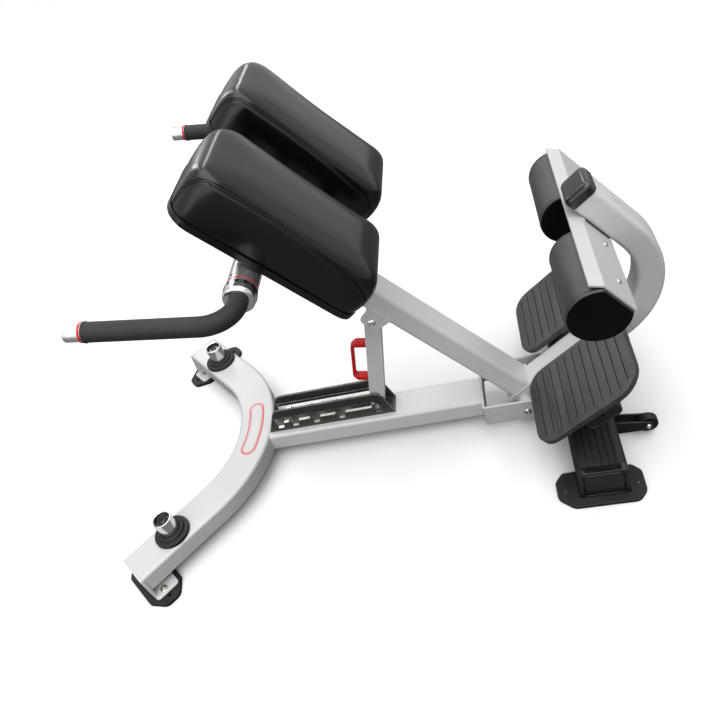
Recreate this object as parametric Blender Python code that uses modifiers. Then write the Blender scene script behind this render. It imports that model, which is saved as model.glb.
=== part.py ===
"""Hyperextension bench: welded base, tilting pad frame, ladder strut, turning handles.

World frame in metres: +X runs from the front feet to the foot plates, +Z is up,
and the near side is -Y. The bench is symmetric about the plane Y = 0.
"""
import math

import bmesh
import bpy
from mathutils import Matrix, Vector

# General fits, edges and tessellation
GAP = 0.0003
WELD_DISTANCE = 1e-5
EDGE_BREAK = 0.001
BOLT_DOME = 0.0015
ARC_STEPS = 3
ROUND_STEPS = 20
SMALL_STEPS = 10
FINE_STEPS = 24
SMOOTH_ANGLE = math.radians(35)
NEAR = -1
FAR = 1
SIDES = (("near", NEAR), ("far", FAR))

# Rubber feet, shared by the front and rear ends
FOOT_LENGTH = 0.194
FOOT_WIDTH = 0.097
FOOT_HEIGHT = 0.0105
FOOT_SIDE_LENGTH = 0.110
FOOT_TIP_WIDTH = 0.040
FOOT_SIDE_FILLET = 0.012
FOOT_TIP_FILLET = 0.020
FOOT_HOLE_OFFSET = 0.077
FOOT_HOLE_RADIUS = 0.0042
FOOT_HOLE_STEPS = 16
FOOT_SPIGOT_RADIUS = 0.012
FOOT_SPIGOT_RISE = 0.006

# Base beam and front arc
BEAM_WIDTH = 0.092
BEAM_HEIGHT = 0.055
BEAM_BOTTOM = 0.032
BEAM_WALL = 0.003
BEAM_CORNER = 0.008
BEAM_SADDLE_DEPTH = 0.010
ARC_CENTRE_X = -0.708
ARC_RADIUS = 0.330
ARC_ANGLE = math.radians(43.6)
ARC_LEG = 0.247
ARC_WIDTH = 0.100
ARC_POINTS = 10

# Front foot brackets at the ends of the arc
BRACKET_THICKNESS = 0.004
BRACKET_OVERHANG = 0.006
BRACKET_FOOT_WIDTH = 0.141
BRACKET_FLANGE = 0.066
BRACKET_CORNER = 0.010
FRONT_FOOT_OVERHANG = 0.0245
FRONT_NUT_OFFSET = 0.0530
FRONT_NUT_SETBACK = 0.024
FRONT_NUT_RADIUS = 0.0080
FRONT_NUT_HEIGHT = 0.0060
FRONT_BOLT_RADIUS = 0.0040
FRONT_BOLT_LENGTH = 0.0100
FRONT_BOLT_END = 0.0008

# Plate horns on the arc legs
HORN_ALONG_LEG = 0.120
HORN_RADIUS = 0.0242
HORN_RIM = 0.0030
HORN_TOP = 0.1500
HORN_RECESS = 0.010
BUMPER_RADIUS = 0.047
BUMPER_STEP_RADIUS = 0.036
BUMPER_HEIGHT = 0.017
BUMPER_STEP = 0.010
BUMPER_EDGE = 0.003
HORN_BOLT_RADIUS = 0.006
HORN_BOLT_HEAD_RADIUS = 0.0095
HORN_BOLT_HEAD = 0.006
HORN_BOLT_BITE = 0.009

# Ladder rack on the beam
RACK_FRONT_X = -0.3275
RACK_REAR_X = 0.0320
RACK_HALF_WIDTH = 0.029
RACK_PLATE = 0.005
RACK_WEB = 0.004
RACK_HEIGHT = 0.0785
RACK_FRONT_SLOPE = 0.038
RACK_REAR_SLOPE = 0.026
RACK_CORNER = 0.024
SLOT_BOTTOM = 0.1165
SLOT_HEIGHT = 0.0215
SLOT_END_CLEARANCE = 0.0010
NOTCH_XS = (-0.2890, -0.2460, -0.1850, -0.1130, -0.0110)
NOTCH_DEPTH = 0.0180
NOTCH_TOP_WIDTH = 0.028
NOTCH_BOTTOM_WIDTH = 0.016
SLOT_END_STEP = 0.002

# Pivot fork and its bolt
PIVOT_X = 0.367
PIVOT_Z = 0.0635
FORK_FRONT_X = 0.259
FORK_OUTER_WIDTH = 0.160
FORK_PLATE = 0.006
FORK_INNER_FILLET = 0.002
FORK_BOTTOM = 0.036
FORK_TOP = 0.099
PIVOT_BOLT_RADIUS = 0.006
PIVOT_HEAD_RADIUS = 0.0095
PIVOT_HEAD = 0.005
PIVOT_SLEEVE_RADIUS = 0.019
PIVOT_SLEEVE_WALL = 0.003
PIVOT_SIDE_CLEARANCE = 0.0006
BUSH_LENGTH = 0.018
BUSH_FIT = 0.0002

# Rear cross member
CROSS_FRONT_X = 0.449
CROSS_DEPTH = 0.108
CROSS_HEIGHT = 0.092
CROSS_HALF_LENGTH = 0.3195
CROSS_TUBE_TOP = 0.083
CROSS_COVER = 0.004
CROSS_CORNER = 0.016
CROSS_WALL = 0.003
CAP_LENGTH = 0.018
CAP_RIM = 0.009
CAP_RECESS = 0.007
REAR_FOOT_SHIFT = -0.0065
REAR_FOOT_Y = 0.289
TREAD_GROOVES = 5
TREAD_GROOVE_PITCH = 0.0150
TREAD_GROOVE_WIDTH = 0.005
TREAD_GROOVE_DEPTH = 0.003
TREAD_INNER_Y = 0.0860
TREAD_SKIRT_GAP = 0.0024

# Transport wheels behind the cross member
WHEEL_Y = 0.145
WHEEL_RADIUS = 0.0235
WHEEL_WIDTH = 0.020
WHEEL_EDGE = 0.002
WHEEL_AXLE_REACH = 0.076
WHEEL_AXLE_Z = 0.034
WHEEL_CHEEK = 0.0035
WHEEL_CLEARANCE = 0.0012
WHEEL_BRACKET_SHOULDER = 0.0195
WHEEL_BRACKET_TIP = 0.0122
WHEEL_BRACKET_ROUND = 0.0100
WHEEL_BOLT_RADIUS = 0.004
WHEEL_HEAD_RADIUS = 0.0075
WHEEL_HEAD = 0.0050
WHEEL_BRACKET_TOP = 0.060
WHEEL_BRACKET_BOTTOM = 0.022

# Tilting frame: a runs up the post from the pivot, b stands square to it
POST_SLOPE = math.radians(53.2)
TUBE_WIDTH = 0.075
TUBE_DEPTH = 0.058
TUBE_WALL = 0.003
TUBE_CORNER = 0.010
POST_CENTRE_B = 0.012
POST_TOP_A = 0.945
SHIN_BOTTOM_B = -0.034
BEND_RADIUS = 0.175
BEND_CENTRE_B = 0.298
ARCH_END_A = 0.319
ARCH_CAP_LENGTH = 0.026
ARCH_CAP_LIP = 0.0020
ARCH_PLUG_LENGTH = 0.025
ARCH_CAP_BEVEL = 0.006

# Ears and strut
EAR_A = 0.4606
EAR_B = -0.0369
EAR_PLATE = 0.005
STRUT_DEPTH = 0.040
STRUT_WIDTH = 0.040
STRUT_WALL = 0.003
EAR_BOSS_RADIUS = 0.0110
# Corners of each ear as steps in a and b from the strut bolt
EAR_OUTLINE = ((0.0304, 0.0309), (-0.0316, 0.0309), (-0.0236, -0.0161), (0.0274, -0.0131))
EAR_FILLETS = (0.002, 0.002, 0.012, 0.012)
STRUT_CROWN_RADIUS = 0.0122
STRUT_CROWN_LENGTH = 0.022
STRUT_CROWN_FROM = math.radians(10)
STRUT_TOE = 0.0095
STRUT_TOE_WIDTH = 0.033
STRUT_TOE_LENGTH = 0.012
STRUT_TOE_FILLET = 0.005
STRUT_SLOT_BELOW = 0.0059
STRUT_SLOT_ABOVE = 0.0280
STRUT_SLOT_FRONT = 0.0106
STRUT_SLOT_REAR = 0.0129
STRUT_SLOT_FILLET = 0.005
STRUT_BOLT_RADIUS = 0.006
STRUT_HEAD_RADIUS = 0.0100
STRUT_HEAD = 0.0045
RACK_PIN_RADIUS = 0.0075
RACK_PIN_NECK_RADIUS = 0.0050
RACK_PIN_HALF_LENGTH = 0.0360
RACK_PIN_REST_X = -0.0075
RACK_PIN_REST_Z = 0.1245
RACK_PIN_STROKE = 0.2832

# Red lift handle on the strut
LIFT_TOP = 0.0955
LIFT_BOTTOM = 0.2175
LIFT_STANDOFF = 0.059
LIFT_WIDTH = 0.022
LIFT_THICKNESS = 0.009
LIFT_CORNER = 0.018
LIFT_EDGE = 0.0036
LIFT_STEPS = 4

# Foot plates
PLATE_FRONT_A = 0.0497
PLATE_THICKNESS = 0.0158
PLATE_INNER_Y = 0.0390
PLATE_WIDTH = 0.219
PLATE_BOTTOM_B = 0.0536
PLATE_TOP_B = 0.3275
PLATE_CORNER = 0.046
PLATE_TOP_CORNER = 0.060
PLATE_BEVEL = 0.002
GROOVE_COUNT = 11
GROOVE_WIDTH = 0.0032
GROOVE_DEPTH = 0.0026
GROOVE_MARGIN = 0.013
GROOVE_END = 0.0014
ARM_DEPTH = 0.0375
ARM_HEIGHT = 0.086
ARM_CENTRE_B = 0.2015
ARM_END_Y = 0.2400
ARM_WALL = 0.003
ARM_CORNER = 0.014
ARM_VENT_RADIUS = 0.004

# Rollers and their bracket
ROLLER_A = 0.2495
ROLLER_RADIUS = 0.0627
ROLLER_B = 0.3923
ROLLER_INNER_Y = 0.0640
ROLLER_OUTER_Y = 0.2640
ROLLER_EDGE = 0.0035
ROLLER_NIP = 0.0040
ROLLER_NIP_ANGLE = math.radians(4)
ROLLER_STEPS = 30
SHEET_THICKNESS = 0.005
SHEET_REAR_A = 0.2045
SHEET_FOLD_A = 0.2935
SHEET_LIP_A = 0.0235
SHEET_LIP_B = 0.0165
SHEET_HALF_LENGTH = 0.2585
ROLLER_SCREW_A = 0.2370
ROLLER_SCREW_YS = (0.0785, 0.1990)
SCREW_RADIUS = 0.004
SCREW_HEAD_RADIUS = 0.0062
SCREW_HEAD = 0.0035
ROLLER_SCREW_LENGTH = 0.022

# Hip pads
PAD_REAR_A = 0.590
PAD_FRONT_A = 0.998
PAD_INNER_Y = 0.0560
PAD_OUTER_Y = 0.2520
PAD_BOTTOM_B = 0.0829
BOARD_THICKNESS = 0.017
PAD_THICKNESS = 0.0930
PAD_CROWN = 0.0070
PAD_FRONT_RADIUS = 0.043
PAD_REAR_RADIUS = 0.030
PAD_CORNER_STEPS = 5
PAD_FRONT_RADIUS_MIN = 0.010
PAD_REAR_RADIUS_MIN = 0.008
# Cushion section, from the board up: share of the thickness, then how far the
# front, the rear and each side are drawn in there, then the share of the crown
PAD_LEVELS = (
    (0.000, 0.0040, 0.0085, 0.0030, 0.000),
    (0.060, 0.0010, 0.0050, 0.0006, 0.000),
    (0.220, 0.0015, 0.0010, 0.0000, 0.000),
    (0.430, 0.0030, 0.0000, 0.0000, 0.000),
    (0.620, 0.0052, 0.0020, 0.0004, 0.000),
    (0.760, 0.0090, 0.0060, 0.0014, 0.000),
    (0.880, 0.0150, 0.0120, 0.0030, 0.000),
    (0.960, 0.0230, 0.0180, 0.0055, 0.000),
    (1.000, 0.0330, 0.0260, 0.0100, 0.000),
    (1.000, 0.0530, 0.0420, 0.0220, 0.450),
    (1.000, 0.0770, 0.0680, 0.0450, 0.850),
    (1.000, 0.1030, 0.0980, 0.0700, 1.000),
)
BOARD_FRONT_INSET = 0.006
BOARD_REAR_INSET = 0.010
BOARD_SIDE_INSET = 0.0035
BOARD_BEVEL = 0.004
CARRIER_WIDTH = 0.040
CARRIER_HALF_LENGTH = 0.165
CARRIER_WALL = 0.003
CARRIER_CORNER = 0.005
CARRIER_REAR_INSET = 0.090
CARRIER_FRONT_INSET = 0.093
CARRIER_AS = (("rear", PAD_REAR_A + CARRIER_REAR_INSET), ("front", PAD_FRONT_A - CARRIER_FRONT_INSET))
PAD_STUD_YS = (0.085, 0.145)
PAD_STUD_RADIUS = 0.004
PAD_STUD_REACH = 0.010

# Handle hub and handles
HUB_A = 0.8066
HUB_B = 0.0533
HUB_RADIUS = 0.029
HUB_WALL = 0.0035
HUB_HALF_LENGTH = 0.2900
COLLAR_RADIUS = 0.0310
COLLAR_LENGTH = 0.026
COLLAR_SPIGOT = 0.050
COLLAR_SPIGOT_FIT = 0.0003
COLLAR_TEETH = 12
COLLAR_TOOTH_WIDTH = 0.0060
COLLAR_TOOTH_LENGTH = 0.0080
COLLAR_TOOTH_DEPTH = 0.0025
GRIP_CAP_EDGE = 0.002
HANDLE_PITCH = math.radians(11.3)
HANDLE_Y = 0.380
HANDLE_BEND = 0.058
HANDLE_BAR_RADIUS = 0.0150
GRIP_RADIUS = 0.0184
GRIP_END = 0.2610
GRIP_RING_LENGTH = 0.0050
GRIP_RING_RADIUS = 0.0188
GRIP_CAP_RADIUS = 0.0168
GRIP_CAP_END = 0.2960
BAR_END = 0.2840
HANDLE_BEND_POINTS = 6
HANDLE_SECTION_STEPS = 12

FINISHES = {
    "silver": ((0.62, 0.62, 0.63), 0.38, 0.25),
    "chrome": ((0.80, 0.80, 0.82), 0.12, 1.0),
    "steel": ((0.55, 0.55, 0.56), 0.30, 1.0),
    "gunmetal": ((0.10, 0.095, 0.085), 0.45, 0.6),
    "black": ((0.018, 0.018, 0.020), 0.45, 0.0),
    "rubber": ((0.030, 0.030, 0.032), 0.75, 0.0),
    "vinyl": ((0.035, 0.035, 0.038), 0.42, 0.0),
    "foam": ((0.090, 0.090, 0.098), 0.60, 0.0),
    "tread": ((0.085, 0.085, 0.088), 0.60, 0.0),
    "red": ((0.55, 0.012, 0.020), 0.35, 0.0),
}


def clear_scene():
    """Remove every object and start with two empty collections."""
    for obj in list(bpy.data.objects):
        bpy.data.objects.remove(obj, do_unlink=True)
    for name in ("hyperextension_bench", "cutters"):
        if name not in bpy.data.collections:
            collection = bpy.data.collections.new(name)
            bpy.context.scene.collection.children.link(collection)


def link(obj, collection="hyperextension_bench"):
    """Put an object in one collection only."""
    for owner in list(obj.users_collection):
        owner.objects.unlink(obj)
    bpy.data.collections[collection].objects.link(obj)


def dress(obj, finish):
    """Give an object its own Principled material."""
    colour, roughness, metallic = FINISHES[finish]
    material = bpy.data.materials.new(obj.name + "_" + finish)
    material.use_nodes = True
    shader = material.node_tree.nodes["Principled BSDF"]
    shader.inputs["Base Color"].default_value = (*colour, 1.0)
    shader.inputs["Roughness"].default_value = roughness
    shader.inputs["Metallic"].default_value = metallic
    obj.data.materials.clear()
    obj.data.materials.append(material)


def axis(name, location, parent=None, rotation=None):
    """An empty that carries the pieces of one moving body."""
    empty = bpy.data.objects.new(name, None)
    link(empty)
    empty.parent = parent
    turn = rotation if rotation is not None else Matrix.Identity(4)
    empty.matrix_local = Matrix.Translation(location) @ turn
    return empty


def fillet(points, radii, steps=ARC_STEPS):
    """Round the corners of a closed outline with arcs."""
    result = []
    count = len(points)
    for index in range(count):
        corner = Vector(points[index])
        before = Vector(points[index - 1]) - corner
        after = Vector(points[(index + 1) % count]) - corner
        radius = radii[index] if isinstance(radii, (list, tuple)) else radii
        if radius <= 0.0:
            result.append(tuple(corner))
            continue
        half = before.angle(after) / 2.0
        reach = radius / math.tan(half)
        centre = corner + (before.normalized() + after.normalized()).normalized() * radius / math.sin(half)
        start = corner + before.normalized() * reach - centre
        end = corner + after.normalized() * reach - centre
        sweep = start.angle_signed(end)
        for step in range(steps + 1):
            turned = start.copy()
            turned.rotate(Matrix.Rotation(-sweep * step / steps, 2))
            result.append(tuple(centre + turned))
    return result


def rectangle(width, height, radius, centre=(0.0, 0.0), steps=ARC_STEPS):
    """A rounded rectangle outline about a centre."""
    cx, cy = centre
    w = width / 2.0
    h = height / 2.0
    corners = [(cx - w, cy - h), (cx + w, cy - h), (cx + w, cy + h), (cx - w, cy + h)]
    return fillet(corners, radius, steps)


def flat_mesh(name, outlines, thickness):
    """Extrude flat outlines by a thickness about their plane; later outlines are holes."""
    curve = bpy.data.curves.new(name, "CURVE")
    curve.dimensions = "2D"
    curve.fill_mode = "BOTH"
    curve.extrude = thickness / 2.0
    for outline in outlines:
        spline = curve.splines.new("POLY")
        spline.points.add(len(outline) - 1)
        for point, place in zip(spline.points, outline):
            point.co = (place[0], place[1], 0.0, 1.0)
        spline.use_cyclic_u = True
    return curve_to_mesh(name, curve)


def curve_to_mesh(name, curve):
    """Evaluate a curve and weld its caps."""
    holder = bpy.data.objects.new(name + "_curve", curve)
    bpy.context.scene.collection.objects.link(holder)
    bpy.context.view_layer.update()
    graph = bpy.context.evaluated_depsgraph_get()
    mesh = bpy.data.meshes.new_from_object(holder.evaluated_get(graph))
    bpy.data.objects.remove(holder, do_unlink=True)
    mesh.name = name
    work = bmesh.new()
    work.from_mesh(mesh)
    bmesh.ops.remove_doubles(work, verts=work.verts, dist=WELD_DISTANCE)
    bmesh.ops.recalc_face_normals(work, faces=work.faces)
    work.to_mesh(mesh)
    work.free()
    mesh.materials.clear()
    return mesh


def add(name, mesh, finish, matrix=None, parent=None, smooth=False):
    """Make a named object from a mesh and place it under its parent."""
    obj = bpy.data.objects.new(name, mesh)
    link(obj)
    if smooth:
        mesh.shade_smooth()
        mesh.set_sharp_from_angle(angle=SMOOTH_ANGLE)
    obj.parent = parent
    obj.matrix_local = matrix if matrix is not None else Matrix.Identity(4)
    dress(obj, finish)
    return obj


def turned_mesh(name, profile, steps=ROUND_STEPS):
    """Turn a profile of (radius, height) pairs about Z; it runs down its outer side."""
    mesh = bpy.data.meshes.new(name)
    closed = min(point[0] for point in profile) > WELD_DISTANCE
    edges = [(i, i + 1) for i in range(len(profile) - 1)]
    if closed:
        edges.append((len(profile) - 1, 0))
    mesh.from_pydata([(r, 0.0, z) for r, z in profile], edges, [])
    holder = bpy.data.objects.new(name + "_profile", mesh)
    bpy.context.scene.collection.objects.link(holder)
    screw = holder.modifiers.new("turn", "SCREW")
    screw.axis = "Z"
    screw.steps = steps
    screw.render_steps = steps
    screw.use_merge_vertices = True
    screw.merge_threshold = WELD_DISTANCE
    bpy.context.view_layer.update()
    graph = bpy.context.evaluated_depsgraph_get()
    result = bpy.data.meshes.new_from_object(holder.evaluated_get(graph))
    bpy.data.objects.remove(holder, do_unlink=True)
    bpy.data.meshes.remove(mesh)
    result.name = name
    work = bmesh.new()
    work.from_mesh(result)
    bmesh.ops.remove_doubles(work, verts=work.verts, dist=WELD_DISTANCE)
    bmesh.ops.recalc_face_normals(work, faces=work.faces)
    work.to_mesh(result)
    work.free()
    return result


def outline_curve(name, points, cyclic):
    """A flat poly curve through the given points."""
    curve = bpy.data.curves.new(name, "CURVE")
    curve.dimensions = "2D"
    spline = curve.splines.new("POLY")
    spline.points.add(len(points) - 1)
    for point, place in zip(spline.points, points):
        point.co = (place[0], place[1], 0.0, 1.0)
    spline.use_cyclic_u = cyclic
    return curve


def sweep_mesh(name, path, profile, capped):
    """Sweep a closed profile along a flat path."""
    section = bpy.data.objects.new(name + "_section", outline_curve(name + "_section", profile, True))
    bpy.context.scene.collection.objects.link(section)
    curve = outline_curve(name, path, False)
    curve.bevel_mode = "OBJECT"
    curve.bevel_object = section
    if capped:
        curve.dimensions = "3D"
        curve.twist_mode = "Z_UP"
        curve.use_fill_caps = True
    else:
        curve.fill_mode = "NONE"
    mesh = curve_to_mesh(name, curve)
    bpy.data.objects.remove(section, do_unlink=True)
    return mesh


def swept_tube(name, path, profile, wall):
    """Sweep a closed profile along a flat path and give the skin a wall, ends open."""
    mesh = sweep_mesh(name, path, profile, False)
    if outward_share(mesh, path) < 0.0:
        mesh.flip_normals()
    return walled(name, mesh, wall)


def outward_share(mesh, path):
    """Positive where an open skin's faces point away from the path it follows."""
    stations = [Vector((place[0], place[1], 0.0)) for place in path]
    total = 0.0
    for face in mesh.polygons:
        nearest = min(stations, key=lambda station: (face.center - station).length)
        total += face.normal.dot(face.center - nearest) * face.area
    return total


def walled(name, mesh, wall):
    """Thicken a skin inwards and return the closed solid."""
    holder = bpy.data.objects.new(name + "_skin", mesh)
    bpy.context.scene.collection.objects.link(holder)
    solidify = holder.modifiers.new("wall", "SOLIDIFY")
    solidify.thickness = wall
    solidify.offset = -1.0
    solidify.use_even_offset = True
    bpy.context.view_layer.update()
    graph = bpy.context.evaluated_depsgraph_get()
    result = bpy.data.meshes.new_from_object(holder.evaluated_get(graph))
    bpy.data.objects.remove(holder, do_unlink=True)
    result.name = name
    return result


def cutter(name, mesh, matrix=None, parent=None):
    """A hidden solid for Boolean cuts and joins."""
    obj = bpy.data.objects.new(name, mesh)
    link(obj, "cutters")
    obj.parent = parent
    obj.matrix_local = matrix if matrix is not None else Matrix.Identity(4)
    obj.hide_render = True
    obj.display_type = "WIRE"
    return obj


def combine(obj, tool, operation="DIFFERENCE"):
    """Add one exact Boolean step to an object."""
    step = obj.modifiers.new(operation.lower() + "_" + tool.name, "BOOLEAN")
    step.operation = operation
    step.solver = "EXACT"
    step.object = tool


def bevel(obj, width, segments=2, angle=math.radians(50)):
    """Round an object's sharp edges."""
    step = obj.modifiers.new("edges", "BEVEL")
    step.width = width
    step.segments = segments
    step.limit_method = "ANGLE"
    step.angle_limit = angle


def box_mesh(name, size, centre=(0.0, 0.0, 0.0)):
    """A box from the cube primitive."""
    work = bmesh.new()
    bmesh.ops.create_cube(work, size=1.0)
    place = Matrix.Translation(centre) @ Matrix.Diagonal((*size, 1.0))
    bmesh.ops.transform(work, matrix=place, verts=work.verts)
    mesh = bpy.data.meshes.new(name)
    work.to_mesh(mesh)
    work.free()
    return mesh


def rod_mesh(name, radius, length, steps=SMALL_STEPS):
    """A cylinder about Z from the cone primitive."""
    work = bmesh.new()
    bmesh.ops.create_cone(work, cap_ends=True, segments=steps, radius1=radius, radius2=radius, depth=length)
    mesh = bpy.data.meshes.new(name)
    work.to_mesh(mesh)
    work.free()
    return mesh


def drill_mesh(name, radius, length, steps=SMALL_STEPS):
    """A cylinder about Z whose flats lie at the radius, for holes that a round piece fits."""
    return rod_mesh(name, radius / math.cos(math.pi / steps), length, steps)


def along_y(x, y, z, side=1):
    """Turn a piece's Z onto the Y axis, outwards on the given side."""
    return Matrix.Translation((x, y, z)) @ Matrix.Rotation(-side * math.pi / 2.0, 4, "X")


def along_x(x=0.0, y=0.0, z=0.0):
    """Stand a flat XY outline in the YZ plane, extruded along X."""
    turn = Matrix(((0, 0, 1, 0), (1, 0, 0, 0), (0, 1, 0, 0), (0, 0, 0, 1)))
    return Matrix.Translation((x, y, z)) @ turn


def side_plane(x=0.0, y=0.0, z=0.0):
    """Stand a flat XY outline in the XZ plane, with its first axis along X."""
    return Matrix.Translation((x, y, z)) @ Matrix.Rotation(math.pi / 2.0, 4, "X")


def capped_bolt(head_radius, head, radius, length, dome=BOLT_DOME):
    """A bolt profile: head above the origin plane, shank below it."""
    return [
        (0.0, head),
        (head_radius - dome, head),
        (head_radius, head - dome),
        (head_radius, 0.0),
        (radius, 0.0),
        (radius, -length),
        (0.0, -length),
    ]


def through_bolt(head_radius, head, radius, reach):
    """A bolt profile with a domed head beyond each end of its shank."""
    top = reach + head
    return [
        (0.0, top),
        (head_radius - BOLT_DOME, top),
        (head_radius, top - BOLT_DOME),
        (head_radius, reach),
        (radius, reach),
        (radius, -reach),
        (head_radius, -reach),
        (head_radius, BOLT_DOME - top),
        (head_radius - BOLT_DOME, -top),
        (0.0, -top),
    ]


def ring_profile(inner, outer, low, high, edge=0.0):
    """A ring section, run down its outer side, with an optional edge break."""
    if edge <= 0.0:
        return [(inner, high), (outer, high), (outer, low), (inner, low)]
    return [
        (inner, high),
        (outer - edge, high),
        (outer, high - edge),
        (outer, low + edge),
        (outer - edge, low),
        (inner, low),
    ]


def arc_outline(centre, radius, start, end, steps):
    """Points on an arc between two angles in radians."""
    cx, cy = centre
    angles = [start + (end - start) * i / steps for i in range(steps + 1)]
    return [(cx + radius * math.cos(t), cy + radius * math.sin(t)) for t in angles]


def circle(radius, steps):
    """A closed circular outline."""
    return [(radius * math.cos(2.0 * math.pi * i / steps), radius * math.sin(2.0 * math.pi * i / steps))
            for i in range(steps)]


def tube_mesh(name, width, height, corner, wall, length, centre=(0.0, 0.0)):
    """A straight rectangular tube about Z, open at both ends."""
    outer = rectangle(width, height, corner, centre)
    inner = rectangle(width - 2 * wall, height - 2 * wall, max(corner - wall, EDGE_BREAK), centre)
    return flat_mesh(name, [outer, inner], length)


def leg_point(side, distance):
    """Centre of the arc tube at a distance along one of its straight legs."""
    x = ARC_CENTRE_X + ARC_RADIUS * math.cos(ARC_ANGLE) - distance * math.sin(ARC_ANGLE)
    y = ARC_RADIUS * math.sin(ARC_ANGLE) + distance * math.cos(ARC_ANGLE)
    return x, side * y


def end_frame(side, z=0.0):
    """Frame at the end of an arc leg: X outwards along the leg, Y across it."""
    x, y = leg_point(side, ARC_LEG)
    turn = math.atan2(side * math.cos(ARC_ANGLE), -math.sin(ARC_ANGLE))
    return Matrix.Translation((x, y, z)) @ Matrix.Rotation(turn, 4, "Z")


def foot_outline():
    """Six-sided outline of a rubber foot, long side along Y."""
    w = FOOT_WIDTH / 2.0
    t = FOOT_TIP_WIDTH / 2.0
    s = FOOT_SIDE_LENGTH / 2.0
    e = FOOT_LENGTH / 2.0
    corners = [(w, -s), (w, s), (t, e), (-t, e), (-w, s), (-w, -s), (-t, -e), (t, -e)]
    side = FOOT_SIDE_FILLET
    tip = FOOT_TIP_FILLET
    return fillet(corners, [side, side, tip, tip, side, side, tip, tip])


def foot_mesh(name):
    """Rubber foot plate with a floor-screw hole near each tip, standing on Z = 0."""
    outlines = [foot_outline()]
    for shift in (-FOOT_HOLE_OFFSET, FOOT_HOLE_OFFSET):
        outlines.append([(x, y + shift) for x, y in circle(FOOT_HOLE_RADIUS, FOOT_HOLE_STEPS)])
    mesh = flat_mesh(name, outlines, FOOT_HEIGHT)
    mesh.transform(Matrix.Translation((0.0, 0.0, FOOT_HEIGHT / 2.0)))
    return mesh


def build_front_arc():
    """Curved front tube with straight legs, bored for the horn bolts."""
    half = arc_outline((ARC_CENTRE_X, 0.0), ARC_RADIUS, -ARC_ANGLE, ARC_ANGLE, ARC_POINTS)
    path = [leg_point(NEAR, ARC_LEG)] + half + [leg_point(FAR, ARC_LEG)]
    profile = rectangle(ARC_WIDTH, BEAM_HEIGHT, BEAM_CORNER)
    mesh = swept_tube("front_arc", path, profile, BEAM_WALL)
    middle = BEAM_BOTTOM + BEAM_HEIGHT / 2.0
    arc = add("front_arc", mesh, "silver", Matrix.Translation((0.0, 0.0, middle)), smooth=True)
    for label, side in SIDES:
        x, y = leg_point(side, HORN_ALONG_LEG)
        drill = drill_mesh("horn_drill_" + label, HORN_BOLT_RADIUS + GAP, BEAM_HEIGHT / 2.0)
        place = Matrix.Translation((x, y, BEAM_BOTTOM + BEAM_HEIGHT))
        combine(arc, cutter("horn_drill_" + label, drill, place))
        weld_end_bracket(arc, label, side)
    return arc


def weld_end_bracket(arc, label, side):
    """Close a leg's end with a plate that carries a flange under the tube."""
    top = BEAM_BOTTOM + BEAM_HEIGHT
    low = FOOT_HEIGHT + GAP
    frame = end_frame(side)
    bite = BRACKET_THICKNESS / 2.0
    flange_centre = BRACKET_OVERHANG - bite / 2.0 - BRACKET_FLANGE / 2.0
    outline = rectangle(BRACKET_FLANGE, BRACKET_FOOT_WIDTH, BRACKET_CORNER, (flange_centre, 0.0))
    flange = flat_mesh("end_flange_" + label, [outline], BRACKET_THICKNESS)
    flange.transform(Matrix.Translation((0.0, 0.0, low + BRACKET_THICKNESS / 2.0)))
    half = BRACKET_FOOT_WIDTH / 2.0 - BRACKET_CORNER - bite
    foot = low + bite / 2.0
    plate_outline = [(-half, foot), (half, foot), (ARC_WIDTH / 2.0, top), (-ARC_WIDTH / 2.0, top)]
    plate = flat_mesh("end_plate_" + label, [plate_outline], BRACKET_OVERHANG + bite)
    plate.transform(along_x((BRACKET_OVERHANG - bite) / 2.0))
    bracket = cutter("end_plate_" + label, plate, frame)
    combine(bracket, cutter("end_flange_" + label, flange, frame), "UNION")
    combine(arc, bracket, "UNION")


def build_front_feet(arc):
    """Rubber feet under the end flanges and their four vertical bolts."""
    low = FOOT_HEIGHT + GAP
    bolt_profile = capped_bolt(FRONT_NUT_RADIUS, FRONT_NUT_HEIGHT, FRONT_BOLT_RADIUS, FRONT_BOLT_LENGTH)
    for label, side in SIDES:
        frame = end_frame(side)
        pad_frame = frame @ Matrix.Translation((FRONT_FOOT_OVERHANG - FOOT_WIDTH / 2.0, 0.0, 0.0))
        pad = add("front_foot_pad_" + label, foot_mesh("front_foot_pad_" + label), "rubber", pad_frame)
        for name, across in (("inner", FRONT_NUT_OFFSET), ("outer", -FRONT_NUT_OFFSET)):
            seat = low + BRACKET_THICKNESS + GAP
            place = frame @ Matrix.Translation((-FRONT_NUT_SETBACK, side * -across, seat))
            bolt = turned_mesh("foot_bolt_%s_%s" % (label, name), bolt_profile, SMALL_STEPS)
            add("foot_bolt_%s_%s" % (label, name), bolt, "steel", place, smooth=True)
            depth = FRONT_BOLT_LENGTH + FRONT_BOLT_END
            drill = drill_mesh("bolt_drill", FRONT_BOLT_RADIUS + GAP, depth)
            drill.transform(Matrix.Translation((0.0, 0.0, -depth / 2.0 + FRONT_BOLT_END / 4.0)))
            tool = cutter("bolt_drill_%s_%s" % (label, name), drill, place)
            combine(arc, tool)
            combine(pad, tool)


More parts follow.
